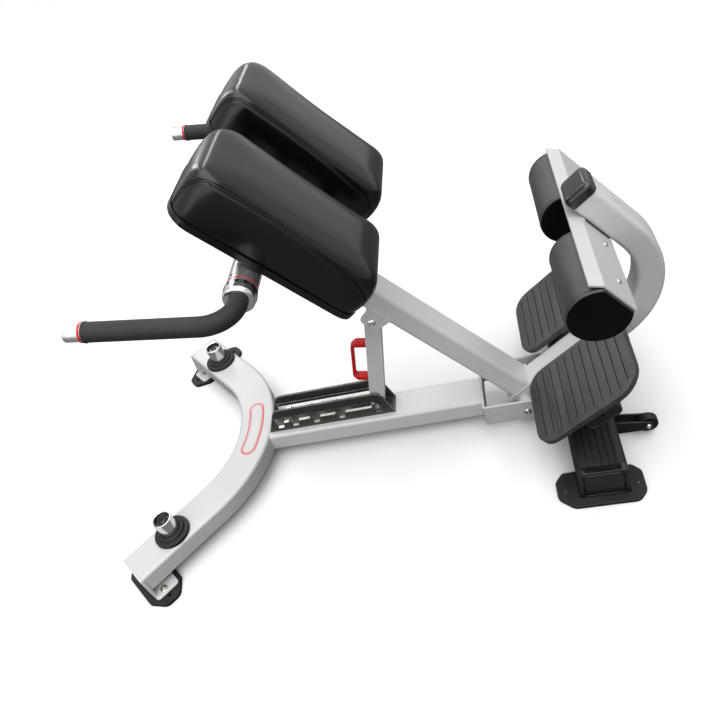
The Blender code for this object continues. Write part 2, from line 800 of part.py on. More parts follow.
def build_horns():
    """Turned plate horns with rubber bumpers, each held by one long bolt."""
    top = BEAM_BOTTOM + BEAM_HEIGHT + GAP
    height = HORN_TOP - top
    floor = height - HORN_RECESS
    bore = HORN_BOLT_RADIUS + GAP
    recess = HORN_RADIUS - HORN_RIM
    horn_profile = [
        (recess, height),
        (HORN_RADIUS - EDGE_BREAK, height),
        (HORN_RADIUS, height - EDGE_BREAK),
        (HORN_RADIUS, 0.0),
        (bore, 0.0),
        (bore, floor),
        (recess, floor),
    ]
    bumper_profile = [
        (HORN_RADIUS + GAP, BUMPER_HEIGHT),
        (BUMPER_STEP_RADIUS - BUMPER_EDGE, BUMPER_HEIGHT),
        (BUMPER_STEP_RADIUS, BUMPER_HEIGHT - BUMPER_EDGE),
        (BUMPER_STEP_RADIUS, BUMPER_STEP),
        (BUMPER_RADIUS - BUMPER_EDGE, BUMPER_STEP),
        (BUMPER_RADIUS, BUMPER_STEP - BUMPER_EDGE),
        (BUMPER_RADIUS, 0.0),
        (HORN_RADIUS + GAP, 0.0),
    ]
    shank = floor + GAP + HORN_BOLT_BITE
    bolt_profile = capped_bolt(HORN_BOLT_HEAD_RADIUS, HORN_BOLT_HEAD, HORN_BOLT_RADIUS, shank)
    for label, side in SIDES:
        x, y = leg_point(side, HORN_ALONG_LEG)
        seat = Matrix.Translation((x, y, top))
        horn = turned_mesh("plate_horn_" + label, horn_profile)
        add("plate_horn_" + label, horn, "chrome", seat, smooth=True)
        ring = turned_mesh("horn_bumper_" + label, bumper_profile)
        add("horn_bumper_" + label, ring, "rubber", seat, smooth=True)
        bolt = turned_mesh("horn_bolt_" + label, bolt_profile, SMALL_STEPS)
        add("horn_bolt_" + label, bolt, "steel", Matrix.Translation((x, y, top + floor + GAP)), smooth=True)


def build_beam():
    """Base beam, saddle-cut to the arc at the front."""
    start = ARC_CENTRE_X + ARC_RADIUS + ARC_WIDTH / 2.0 - BEAM_SADDLE_DEPTH
    end = FORK_FRONT_X - GAP
    length = end - start
    mesh = tube_mesh("base_beam", BEAM_WIDTH, BEAM_HEIGHT, BEAM_CORNER, BEAM_WALL, length)
    place = along_x((start + end) / 2.0, 0.0, BEAM_BOTTOM + BEAM_HEIGHT / 2.0)
    beam = add("base_beam", mesh, "silver", place, smooth=True)
    saddle = rod_mesh("arc_saddle", ARC_RADIUS + ARC_WIDTH / 2.0 + GAP, 4.0 * BEAM_HEIGHT, 12 * FINE_STEPS)
    combine(beam, cutter("arc_saddle", saddle, Matrix.Translation((ARC_CENTRE_X, 0.0, BEAM_BOTTOM))))


def rack_slot_outline():
    """Slot with five seats cut down from its lower edge, in X and Z."""
    left = RACK_PIN_REST_X - RACK_PIN_STROKE - RACK_PIN_RADIUS - SLOT_END_CLEARANCE
    right = RACK_PIN_REST_X + RACK_PIN_RADIUS + SLOT_END_CLEARANCE
    low = SLOT_BOTTOM
    points = [(left, low)]
    for x in NOTCH_XS:
        wide = NOTCH_TOP_WIDTH / 2.0
        narrow = NOTCH_BOTTOM_WIDTH / 2.0
        if x - wide > left + EDGE_BREAK:
            points.append((x - wide, low))
        else:
            points.pop()
            points.append((left, low - SLOT_END_STEP))
        points.append((x - narrow, low - NOTCH_DEPTH))
        points.append((x + narrow, low - NOTCH_DEPTH))
        if x + wide < right - EDGE_BREAK:
            points.append((x + wide, low))
        else:
            points.append((right, low - SLOT_END_STEP))
    if points[-1][0] < right:
        points.append((right, low))
    points.append((right, low + SLOT_HEIGHT))
    points.append((left, low + SLOT_HEIGHT))
    return points


def build_rack():
    """Ladder rack: two notched side plates joined by a floor web."""
    base = BEAM_BOTTOM + BEAM_HEIGHT + GAP
    top = base + RACK_HEIGHT
    corners = [
        (RACK_FRONT_X, base),
        (RACK_REAR_X, base),
        (RACK_REAR_X - RACK_REAR_SLOPE, top),
        (RACK_FRONT_X + RACK_FRONT_SLOPE, top),
    ]
    outline = fillet(corners, [0.0, 0.0, RACK_CORNER, RACK_CORNER])
    mesh = flat_mesh("adjust_rack", [outline, rack_slot_outline()], 2.0 * RACK_HALF_WIDTH)
    rack = add("adjust_rack", mesh, "gunmetal", side_plane())
    height = RACK_HEIGHT * 2.0
    inside = 2.0 * (RACK_HALF_WIDTH - RACK_PLATE)
    channel = box_mesh("rack_channel", (1.0, inside, height), (0.0, 0.0, base + RACK_WEB + height / 2.0))
    combine(rack, cutter("rack_channel", channel))


def build_fork():
    """Pivot fork between the beam and the rear cross member, with its bolt and bushes."""
    end = CROSS_FRONT_X + CROSS_COVER - GAP
    half = FORK_OUTER_WIDTH / 2.0
    inner = half - FORK_PLATE
    corners = [
        (FORK_FRONT_X, -half),
        (end, -half),
        (end, -inner),
        (FORK_FRONT_X + FORK_PLATE, -inner),
        (FORK_FRONT_X + FORK_PLATE, inner),
        (end, inner),
        (end, half),
        (FORK_FRONT_X, half),
    ]
    outline = fillet(corners, [FORK_PLATE, 0, 0, FORK_INNER_FILLET, FORK_INNER_FILLET, 0, 0, FORK_PLATE])
    mesh = flat_mesh("pivot_fork", [outline], FORK_TOP - FORK_BOTTOM)
    fork = add("pivot_fork", mesh, "silver", Matrix.Translation((0.0, 0.0, (FORK_TOP + FORK_BOTTOM) / 2.0)))
    drill = drill_mesh("pivot_drill", PIVOT_BOLT_RADIUS + GAP, 2.0 * FORK_OUTER_WIDTH)
    combine(fork, cutter("pivot_drill", drill, along_y(PIVOT_X, 0.0, PIVOT_Z)))
    profile = through_bolt(PIVOT_HEAD_RADIUS, PIVOT_HEAD, PIVOT_BOLT_RADIUS, half + GAP)
    bolt = turned_mesh("pivot_bolt", profile, SMALL_STEPS)
    add("pivot_bolt", bolt, "steel", along_y(PIVOT_X, 0.0, PIVOT_Z, NEAR), smooth=True)


def tread_outline():
    """Ribbed cover section over the top, front and rear of the cross tube, in X and Z."""
    front = CROSS_FRONT_X
    rear = CROSS_FRONT_X + CROSS_DEPTH
    bottom = FOOT_HEIGHT + GAP
    top = bottom + CROSS_HEIGHT
    inner_front = front + CROSS_COVER - GAP
    inner_rear = rear - CROSS_COVER + GAP
    skirt = WHEEL_BRACKET_TOP + TREAD_SKIRT_GAP
    corners = [(front, bottom), (inner_front, bottom), (inner_front, CROSS_TUBE_TOP + GAP),
               (inner_rear, CROSS_TUBE_TOP + GAP), (inner_rear, skirt), (rear, skirt)]
    high = top - CROSS_CORNER
    shoulder = arc_outline((rear - CROSS_CORNER, high), CROSS_CORNER, 0.0, math.pi / 2.0, ARC_STEPS)
    grooves = []
    middle = (front + rear) / 2.0
    half = TREAD_GROOVE_WIDTH / 2.0
    for index in reversed(range(TREAD_GROOVES)):
        x = middle + (index - (TREAD_GROOVES - 1) / 2.0) * TREAD_GROOVE_PITCH
        grooves += [(x + half, top), (x + half, top - TREAD_GROOVE_DEPTH),
                    (x - half, top - TREAD_GROOVE_DEPTH), (x - half, top)]
    brow = arc_outline((front + CROSS_CORNER, high), CROSS_CORNER, math.pi / 2.0, math.pi, ARC_STEPS)
    return corners + shoulder + grooves + brow


def build_rear_cross():
    """Rear cross tube with ribbed covers, end caps and rubber feet."""
    bottom = FOOT_HEIGHT + GAP
    top = bottom + CROSS_HEIGHT
    front = CROSS_FRONT_X + CROSS_COVER
    rear = CROSS_FRONT_X + CROSS_DEPTH - CROSS_COVER
    centre = ((front + rear) / 2.0, (bottom + CROSS_TUBE_TOP) / 2.0)
    half_length = CROSS_HALF_LENGTH - CAP_LENGTH - GAP
    mesh = tube_mesh("rear_cross_tube", rear - front, CROSS_TUBE_TOP - bottom, BEAM_CORNER, CROSS_WALL,
                     2.0 * half_length, centre)
    tube = add("rear_cross_tube", mesh, "black", side_plane(), smooth=True)
    spigot_x = centre[0] + REAR_FOOT_SHIFT
    section = tread_outline()
    cap_centre = (CROSS_FRONT_X + CROSS_DEPTH / 2.0, (bottom + top) / 2.0)
    cap_outline = rectangle(CROSS_DEPTH, CROSS_HEIGHT, CROSS_CORNER, cap_centre)
    rim = 2.0 * CAP_RIM
    recess_outline = rectangle(CROSS_DEPTH - rim, CROSS_HEIGHT - rim, CROSS_CORNER - CAP_RIM, cap_centre)
    foot_turn = Matrix.Rotation(math.pi / 2.0, 4, "Z")
    for label, side in SIDES:
        length = half_length - TREAD_INNER_Y
        tread = flat_mesh("rear_tread_" + label, [section], length)
        add("rear_tread_" + label, tread, "rubber", side_plane(0.0, side * (TREAD_INNER_Y + length / 2.0)),
            smooth=True)
        cap = flat_mesh("rear_end_cap_" + label, [cap_outline], CAP_LENGTH)
        cap_y = side * (CROSS_HALF_LENGTH - CAP_LENGTH / 2.0)
        cap_obj = add("rear_end_cap_" + label, cap, "black", side_plane(0.0, cap_y), smooth=True)
        recess = flat_mesh("cap_recess_" + label, [recess_outline], 2.0 * CAP_RECESS)
        combine(cap_obj, cutter("cap_recess_" + label, recess, side_plane(0.0, side * CROSS_HALF_LENGTH)))
        foot_place = Matrix.Translation((spigot_x, side * REAR_FOOT_Y, 0.0)) @ foot_turn
        foot = add("rear_foot_" + label, foot_mesh("rear_foot_" + label), "rubber", foot_place)
        spigot_height = FOOT_SPIGOT_RISE + FOOT_HEIGHT / 2.0
        spigot = rod_mesh("foot_spigot_" + label, FOOT_SPIGOT_RADIUS, spigot_height)
        spigot_y = side * (half_length - FOOT_SPIGOT_RADIUS * 2.0)
        spigot_z = FOOT_HEIGHT / 2.0 + spigot_height / 2.0
        spigot_place = Matrix.Translation((spigot_x, spigot_y, spigot_z))
        combine(foot, cutter("foot_spigot_" + label, spigot, spigot_place), "UNION")
        drill = drill_mesh("spigot_drill_" + label, FOOT_SPIGOT_RADIUS + GAP, 6.0 * CROSS_WALL)
        drill_place = Matrix.Translation((spigot_x, spigot_y, bottom))
        combine(tube, cutter("spigot_drill_" + label, drill, drill_place))
    return tube


def build_wheels(root, tube):
    """Two transport wheels in forked brackets welded behind the cross tube."""
    start = CROSS_FRONT_X + CROSS_DEPTH - CROSS_COVER - CROSS_WALL / 2.0
    axle_x = CROSS_FRONT_X + CROSS_DEPTH + WHEEL_AXLE_REACH
    inner = WHEEL_WIDTH / 2.0 + WHEEL_CLEARANCE
    outer = inner + WHEEL_CHEEK
    height = (WHEEL_BRACKET_BOTTOM + WHEEL_BRACKET_TOP) / 2.0
    bolt_profile = through_bolt(WHEEL_HEAD_RADIUS, WHEEL_HEAD, WHEEL_BOLT_RADIUS, outer + GAP)
    half = WHEEL_WIDTH / 2.0
    wheel_profile = [
        (WHEEL_BOLT_RADIUS + GAP, half),
        (WHEEL_RADIUS - WHEEL_EDGE, half),
        (WHEEL_RADIUS, half - WHEEL_EDGE),
        (WHEEL_RADIUS, -half + WHEEL_EDGE),
        (WHEEL_RADIUS - WHEEL_EDGE, -half),
        (WHEEL_BOLT_RADIUS + GAP, -half),
    ]
    tip_x = axle_x + WHEEL_BRACKET_TIP
    corners = [
        (start, WHEEL_BRACKET_BOTTOM),
        (tip_x, WHEEL_BRACKET_BOTTOM),
        (tip_x, WHEEL_AXLE_Z + WHEEL_BRACKET_TIP),
        (start + WHEEL_BRACKET_SHOULDER, WHEEL_BRACKET_TOP),
        (start, WHEEL_BRACKET_TOP),
    ]
    rounds = [0.0, WHEEL_BRACKET_ROUND, WHEEL_BRACKET_ROUND, WHEEL_BRACKET_SHOULDER, 0.0]
    side_outline = fillet(corners, rounds)
    for label, side in SIDES:
        y = side * WHEEL_Y
        bracket_mesh = flat_mesh("wheel_bracket_" + label, [side_outline], 2.0 * outer)
        combine(tube, cutter("wheel_bracket_" + label, bracket_mesh, side_plane(0.0, y)), "UNION")
        slot_start = start + CROSS_WALL / 2.0 + WHEEL_CHEEK
        slot_length = axle_x - slot_start + WHEEL_RADIUS * 2.0
        slot = box_mesh("wheel_slot_" + label, (slot_length, 2.0 * inner, 4.0 * WHEEL_RADIUS),
                        (slot_start + slot_length / 2.0, y, height))
        combine(tube, cutter("wheel_slot_" + label, slot))
        drill = drill_mesh("wheel_drill_" + label, WHEEL_BOLT_RADIUS + GAP, 4.0 * outer)
        combine(tube, cutter("wheel_drill_" + label, drill, along_y(axle_x, y, WHEEL_AXLE_Z)))
        bolt = turned_mesh("wheel_bolt_" + label, bolt_profile, SMALL_STEPS)
        add("wheel_bolt_" + label, bolt, "steel", along_y(axle_x, y, WHEEL_AXLE_Z, NEAR), smooth=True)
        hub = axis("wheel_axis_" + label, (axle_x, y, WHEEL_AXLE_Z), root)
        wheel = turned_mesh("wheel_" + label, wheel_profile)
        add("wheel_" + label, wheel, "rubber", along_y(0.0, 0.0, 0.0, NEAR), hub, smooth=True)


def build_post(frame):
    """Inclined post with the two strut ears and the saddle for the hub."""
    start = TUBE_DEPTH / 2.0 + GAP
    length = POST_TOP_A - start
    centre = (POST_CENTRE_B, 0.0)
    mesh = tube_mesh("main_post", TUBE_DEPTH, TUBE_WIDTH, TUBE_CORNER, TUBE_WALL, length, centre)
    mesh.transform(Matrix.Translation((0.0, 0.0, start + length / 2.0)))
    post = add("main_post", mesh, "silver", None, frame, smooth=True)
    saddle = drill_mesh("hub_saddle", HUB_RADIUS + GAP, 2.0 * TUBE_WIDTH, FINE_STEPS)
    combine(post, cutter("hub_saddle", saddle, along_y(HUB_B, 0.0, HUB_A), frame))
    outline = fillet([(EAR_B + b, EAR_A + a) for a, b in EAR_OUTLINE], list(EAR_FILLETS))
    bore = STRUT_BOLT_RADIUS + GAP
    for label, side in SIDES:
        inner = TUBE_WIDTH / 2.0 - GAP
        ear = flat_mesh("ear_" + label, [outline], EAR_PLATE + GAP)
        tool = cutter("ear_" + label, ear, side_plane(0.0, side * (inner + (EAR_PLATE + GAP) / 2.0)), frame)
        combine(post, tool, "UNION")
        boss_start = STRUT_WIDTH / 2.0 + GAP
        boss_length = inner + EAR_PLATE / 2.0 - boss_start
        boss = rod_mesh("ear_boss_" + label, EAR_BOSS_RADIUS, boss_length, SMALL_STEPS)
        boss_place = along_y(EAR_B, side * (boss_start + boss_length / 2.0), EAR_A)
        combine(post, cutter("ear_boss_" + label, boss, boss_place, frame), "UNION")
    drill = drill_mesh("ear_drill", bore, 2.0 * TUBE_WIDTH, SMALL_STEPS)
    combine(post, cutter("ear_drill", drill, along_y(EAR_B, 0.0, EAR_A), frame))


def build_strut_bolt(frame):
    """Through bolt that carries the strut between the ears."""
    reach = TUBE_WIDTH / 2.0 + EAR_PLATE + GAP
    profile = through_bolt(STRUT_HEAD_RADIUS, STRUT_HEAD, STRUT_BOLT_RADIUS, reach)
    bolt = turned_mesh("strut_bolt", profile, SMALL_STEPS)
    add("strut_bolt", bolt, "steel", along_y(EAR_B, 0.0, EAR_A, NEAR), frame, smooth=True)


def arch_path():
    """Centreline of the foot tube: up past the plates and over to the rollers."""
    bend = arc_outline((BEND_CENTRE_B, BEND_RADIUS), BEND_RADIUS, -math.pi / 2.0, 0.0, ARC_POINTS)
    return [(SHIN_BOTTOM_B, 0.0)] + bend + [(BEND_CENTRE_B + BEND_RADIUS, ARCH_END_A)]


def build_arch(frame):
    """Bent foot tube with its pivot sleeve, bushes and end cap."""
    profile = rectangle(TUBE_DEPTH, TUBE_WIDTH, TUBE_CORNER)
    mesh = swept_tube("foot_arch_tube", arch_path(), profile, TUBE_WALL)
    arch = add("foot_arch_tube", mesh, "silver", side_plane(), frame, smooth=True)
    sleeve_half = FORK_OUTER_WIDTH / 2.0 - FORK_PLATE - PIVOT_SIDE_CLEARANCE
    sleeve = rod_mesh("pivot_sleeve", PIVOT_SLEEVE_RADIUS, 2.0 * sleeve_half, ROUND_STEPS)
    combine(arch, cutter("pivot_sleeve", sleeve, along_y(0.0, 0.0, 0.0), frame), "UNION")
    bore_radius = PIVOT_SLEEVE_RADIUS - PIVOT_SLEEVE_WALL
    bore = drill_mesh("pivot_bore", bore_radius, 3.0 * sleeve_half, ROUND_STEPS)
    combine(arch, cutter("pivot_bore", bore, along_y(0.0, 0.0, 0.0), frame))
    half = BUSH_LENGTH / 2.0
    bush_profile = ring_profile(PIVOT_BOLT_RADIUS + BUSH_FIT, bore_radius - GAP, -half, half)
    for label, side in SIDES:
        bush = turned_mesh("pivot_bush_" + label, bush_profile, ROUND_STEPS)
        seat = along_y(0.0, side * (sleeve_half - half), 0.0)
        add("pivot_bush_" + label, bush, "black", seat, frame, smooth=True)
    centre_b = BEND_CENTRE_B + BEND_RADIUS
    cap_start = ARCH_END_A + GAP
    cap_outline = rectangle(TUBE_DEPTH + 2 * ARCH_CAP_LIP, TUBE_WIDTH + 2 * ARCH_CAP_LIP,
                            TUBE_CORNER + ARCH_CAP_LIP, (centre_b, 0.0))
    cap_mesh = flat_mesh("arch_end_cap", [cap_outline], ARCH_CAP_LENGTH)
    cap_mesh.transform(Matrix.Translation((0.0, 0.0, cap_start + ARCH_CAP_LENGTH / 2.0)))
    cap = add("arch_end_cap", cap_mesh, "black", None, frame)
    bevel(cap, ARCH_CAP_BEVEL, 2)
    plug_length = ARCH_PLUG_LENGTH + ARCH_CAP_LENGTH / 2.0
    wall = 2.0 * (TUBE_WALL + GAP)
    plug_outline = rectangle(TUBE_DEPTH - wall, TUBE_WIDTH - wall, TUBE_CORNER - TUBE_WALL, (centre_b, 0.0))
    plug = flat_mesh("arch_plug", [plug_outline], plug_length)
    plug.transform(Matrix.Translation((0.0, 0.0, cap_start + ARCH_CAP_LENGTH / 2.0 - plug_length / 2.0)))
    combine(cap, cutter("arch_plug", plug, None, frame), "UNION")
    return arch


def groove_outlines():
    """Round-ended grooves across a foot plate, in b and Y about the plate's centre."""
    length = PLATE_WIDTH - 2.0 * GROOVE_MARGIN
    height = PLATE_TOP_B - PLATE_BOTTOM_B
    pitch = (height - 2.0 * GROOVE_MARGIN) / GROOVE_COUNT
    outlines = []
    for index in range(GROOVE_COUNT):
        b = (index - (GROOVE_COUNT - 1) / 2.0) * pitch
        corner = PLATE_TOP_CORNER if b > 0.0 else PLATE_CORNER
        corner_zone = max(abs(b) + corner - height / 2.0, 0.0)
        arc_drop = corner - math.sqrt(max(corner ** 2 - corner_zone ** 2, 0.0))
        outlines.append(rectangle(GROOVE_WIDTH, length - 2.0 * arc_drop, GROOVE_END, (b, 0.0), 1))
    return outlines


def build_foot_plates(frame):
    """Ribbed foot plates backed by bosses on the cross bar."""
    back = PLATE_FRONT_A - PLATE_THICKNESS
    centre_b = (PLATE_BOTTOM_B + PLATE_TOP_B) / 2.0
    half_b = (PLATE_TOP_B - PLATE_BOTTOM_B) / 2.0
    half_y = PLATE_WIDTH / 2.0
    for label, side in SIDES:
        y = side * (PLATE_INNER_Y + half_y)
        corners = [(-half_b, -half_y), (half_b, -half_y), (half_b, half_y), (-half_b, half_y)]
        radii = [PLATE_CORNER] * 4
        radii[2 if side == FAR else 1] = PLATE_TOP_CORNER
        outline = fillet(corners, radii, 2 * ARC_STEPS)
        mesh = flat_mesh("foot_plate_" + label, [outline], PLATE_THICKNESS)
        place = Matrix.Translation((centre_b, y, back + PLATE_THICKNESS / 2.0))
        plate = add("foot_plate_" + label, mesh, "tread", place, frame)
        bevel(plate, PLATE_BEVEL, 1)
        work = bmesh.new()
        for groove in groove_outlines():
            piece = flat_mesh("groove", [groove], 2.0 * GROOVE_DEPTH)
            work.from_mesh(piece)
            bpy.data.meshes.remove(piece)
        cut = bpy.data.meshes.new("grooves_" + label)
        work.to_mesh(cut)
        work.free()
        groove_place = Matrix.Translation((centre_b, y, PLATE_FRONT_A))
        combine(plate, cutter("grooves_" + label, cut, groove_place, frame))
        boss_back = TUBE_DEPTH / 2.0 - TUBE_WALL - GAP
        boss_depth = back + PLATE_THICKNESS / 2.0 - boss_back
        boss_outline = rectangle(ARM_HEIGHT, ARM_END_Y - PLATE_INNER_Y, ARM_CORNER)
        boss = flat_mesh("plate_boss_" + label, [boss_outline], boss_depth)
        boss_y = side * (PLATE_INNER_Y + ARM_END_Y) / 2.0
        boss_place = Matrix.Translation((ARM_CENTRE_B, boss_y, boss_back + boss_depth / 2.0))
        combine(plate, cutter("plate_boss_" + label, boss, boss_place, frame), "UNION")


def build_foot_bar(frame, arch):
    """Cross bar through the foot tube that backs both foot plates."""
    front = TUBE_DEPTH / 2.0 - TUBE_WALL - 2.0 * GAP
    centre = (ARM_CENTRE_B, front - ARM_DEPTH / 2.0)
    mesh = tube_mesh("foot_cross_bar", ARM_HEIGHT, ARM_DEPTH, ARM_CORNER, ARM_WALL, 2.0 * ARM_END_Y, centre)
    bar = add("foot_cross_bar", mesh, "black", side_plane(), frame, smooth=True)
    lid_outline = rectangle(ARM_HEIGHT - ARM_WALL, ARM_DEPTH - ARM_WALL, ARM_CORNER - ARM_WALL / 2.0, centre)
    vent = [(centre[0] + x, centre[1] + y) for x, y in circle(ARM_VENT_RADIUS, SMALL_STEPS)]
    for label, side in SIDES:
        lid = flat_mesh("bar_lid_" + label, [lid_outline, vent], ARM_WALL)
        lid_y = side * (ARM_END_Y - ARM_WALL)
        combine(bar, cutter("bar_lid_" + label, lid, side_plane(0.0, lid_y), frame), "UNION")
    window_outline = rectangle(ARM_HEIGHT + 2.0 * GAP, ARM_DEPTH + 2.0 * GAP, ARM_CORNER, centre)
    window = flat_mesh("bar_window", [window_outline], 2.0 * TUBE_WIDTH)
    combine(arch, cutter("bar_window", window, side_plane(), frame))


def sheet_outline(back, thickness):
    """Roller bracket section in b and a, with its front lip turned down."""
    slope = math.atan2(SHEET_LIP_B, SHEET_LIP_A)
    shift = thickness * math.tan(slope / 2.0)
    front = back - thickness
    tip_a = SHEET_FOLD_A + SHEET_LIP_A
    tip_b = back - SHEET_LIP_B
    normal_a = -math.sin(slope) * thickness
    normal_b = -math.cos(slope) * thickness
    return [
        (back, SHEET_REAR_A),
        (back, SHEET_FOLD_A),
        (tip_b, tip_a),
        (tip_b + normal_b, tip_a + normal_a),
        (front, SHEET_FOLD_A - shift),
        (front, SHEET_REAR_A),
    ]


def build_rollers(frame):
    """Two flat-backed foot rollers screwed under a folded bracket."""
    back = BEND_CENTRE_B + BEND_RADIUS - TUBE_DEPTH / 2.0 - GAP
    flat = back - SHEET_THICKNESS - GAP
    sheet = flat_mesh("roller_bracket", [sheet_outline(back, SHEET_THICKNESS)], 2.0 * SHEET_HALF_LENGTH)
    bracket = add("roller_bracket", sheet, "silver", side_plane(), frame)
    reach = math.acos((flat - ROLLER_B) / ROLLER_RADIUS)
    chord = ROLLER_RADIUS * math.sin(reach) - ROLLER_NIP
    reach += ROLLER_NIP_ANGLE
    outline = arc_outline((ROLLER_B, ROLLER_A), ROLLER_RADIUS, reach, 2.0 * math.pi - reach, ROLLER_STEPS)
    outline = [(flat, ROLLER_A + chord)] + outline + [(flat, ROLLER_A - chord)]
    screw_profile = capped_bolt(SCREW_HEAD_RADIUS, SCREW_HEAD, SCREW_RADIUS, ROLLER_SCREW_LENGTH)
    aim = Matrix.Rotation(math.pi / 2.0, 4, "Y")
    drill_length = 2.0 * ROLLER_SCREW_LENGTH + 4.0 * GAP
    for label, side in SIDES:
        length = ROLLER_OUTER_Y - ROLLER_INNER_Y
        mesh = flat_mesh("roller_" + label, [outline], length)
        y = side * (ROLLER_INNER_Y + length / 2.0)
        roller = add("roller_" + label, mesh, "foam", side_plane(0.0, y), frame, smooth=True)
        bevel(roller, ROLLER_EDGE, 2, math.radians(60))
        for name, screw_y in zip(("inner", "outer"), ROLLER_SCREW_YS):
            place = Matrix.Translation((back + GAP, side * screw_y, ROLLER_SCREW_A)) @ aim
            screw = turned_mesh("roller_screw_%s_%s" % (label, name), screw_profile, SMALL_STEPS)
            add("roller_screw_%s_%s" % (label, name), screw, "steel", place, frame, smooth=True)
            drill = drill_mesh("roller_drill", SCREW_RADIUS + GAP, drill_length, SMALL_STEPS)
            tool = cutter("roller_drill_%s_%s" % (label, name), drill, place, frame)
            combine(bracket, tool)
            combine(roller, tool)


def pad_ring(front, rear, side, front_radius, rear_radius):
    """Rounded pad outline in Y and a, drawn in from the full size on each edge."""
    y0 = PAD_INNER_Y + side
    y1 = PAD_OUTER_Y - side
    a0 = PAD_REAR_A + rear
    a1 = PAD_FRONT_A - front
    corners = [(y0, a0), (y1, a0), (y1, a1), (y0, a1)]
    radii = [rear_radius, rear_radius, front_radius, front_radius]
    return fillet(corners, radii, PAD_CORNER_STEPS)


def lofted_mesh(name, rings, heights):
    """Close a stack of matching outlines into a solid; each ring lies at one b height."""
    work = bmesh.new()
    loops = []
    for ring, height in zip(rings, heights):
        loops.append([work.verts.new((height, y, a)) for y, a in ring])
    count = len(loops[0])
    for lower, upper in zip(loops, loops[1:]):
        for index in range(count):
            after = (index + 1) % count
            work.faces.new((lower[index], lower[after], upper[after], upper[index]))
    work.faces.new(loops[0])
    work.faces.new(loops[-1])
    bmesh.ops.recalc_face_normals(work, faces=work.faces)
    mesh = bpy.data.meshes.new(name)
    work.to_mesh(mesh)
    work.free()
    return mesh


def cushion_mesh(name):
    """Crowned cushion: drawn-in sides, big rounded front, seams above and below."""
    low = PAD_BOTTOM_B + BOARD_THICKNESS
    rise = PAD_THICKNESS
    rings = []
    heights = []
    for share, front, rear, side, crown in PAD_LEVELS:
        front_radius = max(PAD_FRONT_RADIUS - side, PAD_FRONT_RADIUS_MIN)
        rear_radius = max(PAD_REAR_RADIUS - side, PAD_REAR_RADIUS_MIN)
        rings.append(pad_ring(front, rear, side, front_radius, rear_radius))
        heights.append(low + share * rise + crown * PAD_CROWN)
    return lofted_mesh(name, rings, heights)


def mirror_mesh(mesh):
    """Mirror a mesh across the plane Y = 0 and turn its faces back outwards."""
    mesh.transform(Matrix.Diagonal((1.0, -1.0, 1.0, 1.0)))
    mesh.flip_normals()


def build_pads(frame):
    """Hip cushions on boards, located on studs of two cross carriers on the post."""
    carrier_low = POST_CENTRE_B + TUBE_DEPTH / 2.0 + GAP
    carrier_high = PAD_BOTTOM_B - GAP
    aim = Matrix.Rotation(math.pi / 2.0, 4, "Y")
    drills = {"near": [], "far": []}
    for name, a in CARRIER_AS:
        middle = ((carrier_low + carrier_high) / 2.0, a)
        mesh = tube_mesh("pad_carrier_" + name, carrier_high - carrier_low, CARRIER_WIDTH, CARRIER_CORNER,
                         CARRIER_WALL, 2.0 * CARRIER_HALF_LENGTH, middle)
        carrier = add("pad_carrier_" + name, mesh, "black", side_plane(), frame, smooth=True)
        for label, side in SIDES:
            for index, y in enumerate(PAD_STUD_YS):
                tag = "_%s_%s_%d" % (label, name, index)
                place = Matrix.Translation((carrier_high, side * y, a)) @ aim
                stud = rod_mesh("pad_stud", PAD_STUD_RADIUS, 2.0 * PAD_STUD_REACH)
                combine(carrier, cutter("pad_stud" + tag, stud, place, frame), "UNION")
                socket = drill_mesh("pad_socket", PAD_STUD_RADIUS + GAP, 2.0 * (PAD_STUD_REACH + 2.0 * GAP))
                drills[label].append(cutter("pad_socket" + tag, socket, place, frame))
    board_outline = pad_ring(BOARD_FRONT_INSET, BOARD_REAR_INSET, BOARD_SIDE_INSET,
                             PAD_FRONT_RADIUS, PAD_REAR_RADIUS)
    board_inset = pad_ring(BOARD_FRONT_INSET + BOARD_BEVEL, BOARD_REAR_INSET + BOARD_BEVEL,
                           BOARD_SIDE_INSET + BOARD_BEVEL, PAD_FRONT_RADIUS, PAD_REAR_RADIUS)
    for label, side in SIDES:
        board_heights = [PAD_BOTTOM_B, PAD_BOTTOM_B + BOARD_BEVEL, PAD_BOTTOM_B + BOARD_THICKNESS - GAP]
        board_rings = [board_inset, board_outline, board_outline]
        board_mesh = lofted_mesh("pad_board_" + label, board_rings, board_heights)
        pad_mesh = cushion_mesh("hip_pad_" + label)
        if side == NEAR:
            mirror_mesh(board_mesh)
            mirror_mesh(pad_mesh)
        board = add("pad_board_" + label, board_mesh, "black", None, frame)
        for tool in drills[label]:
            combine(board, tool)
        add("hip_pad_" + label, pad_mesh, "vinyl", None, frame, smooth=True)


def build_hub(frame):
    """Cross hub in the post saddle that carries both handles."""
    profile = ring_profile(HUB_RADIUS - HUB_WALL, HUB_RADIUS, -HUB_HALF_LENGTH, HUB_HALF_LENGTH, EDGE_BREAK)
    hub = turned_mesh("handle_hub", profile, FINE_STEPS)
    add("handle_hub", hub, "silver", along_y(HUB_B, 0.0, HUB_A), frame, smooth=True)


def rod_along(name, path, radius):
    """A solid round bar along a path in the YZ plane of the handle."""
    curve = bpy.data.curves.new(name, "CURVE")
    curve.dimensions = "3D"
    curve.bevel_depth = radius
    curve.bevel_resolution = HANDLE_SECTION_STEPS // 4
    curve.use_fill_caps = True
    line = curve.splines.new("POLY")
    line.points.add(len(path) - 1)
    for point, place in zip(line.points, path):
        point.co = (0.0, place[0], place[1], 1.0)
    return curve_to_mesh(name, curve)


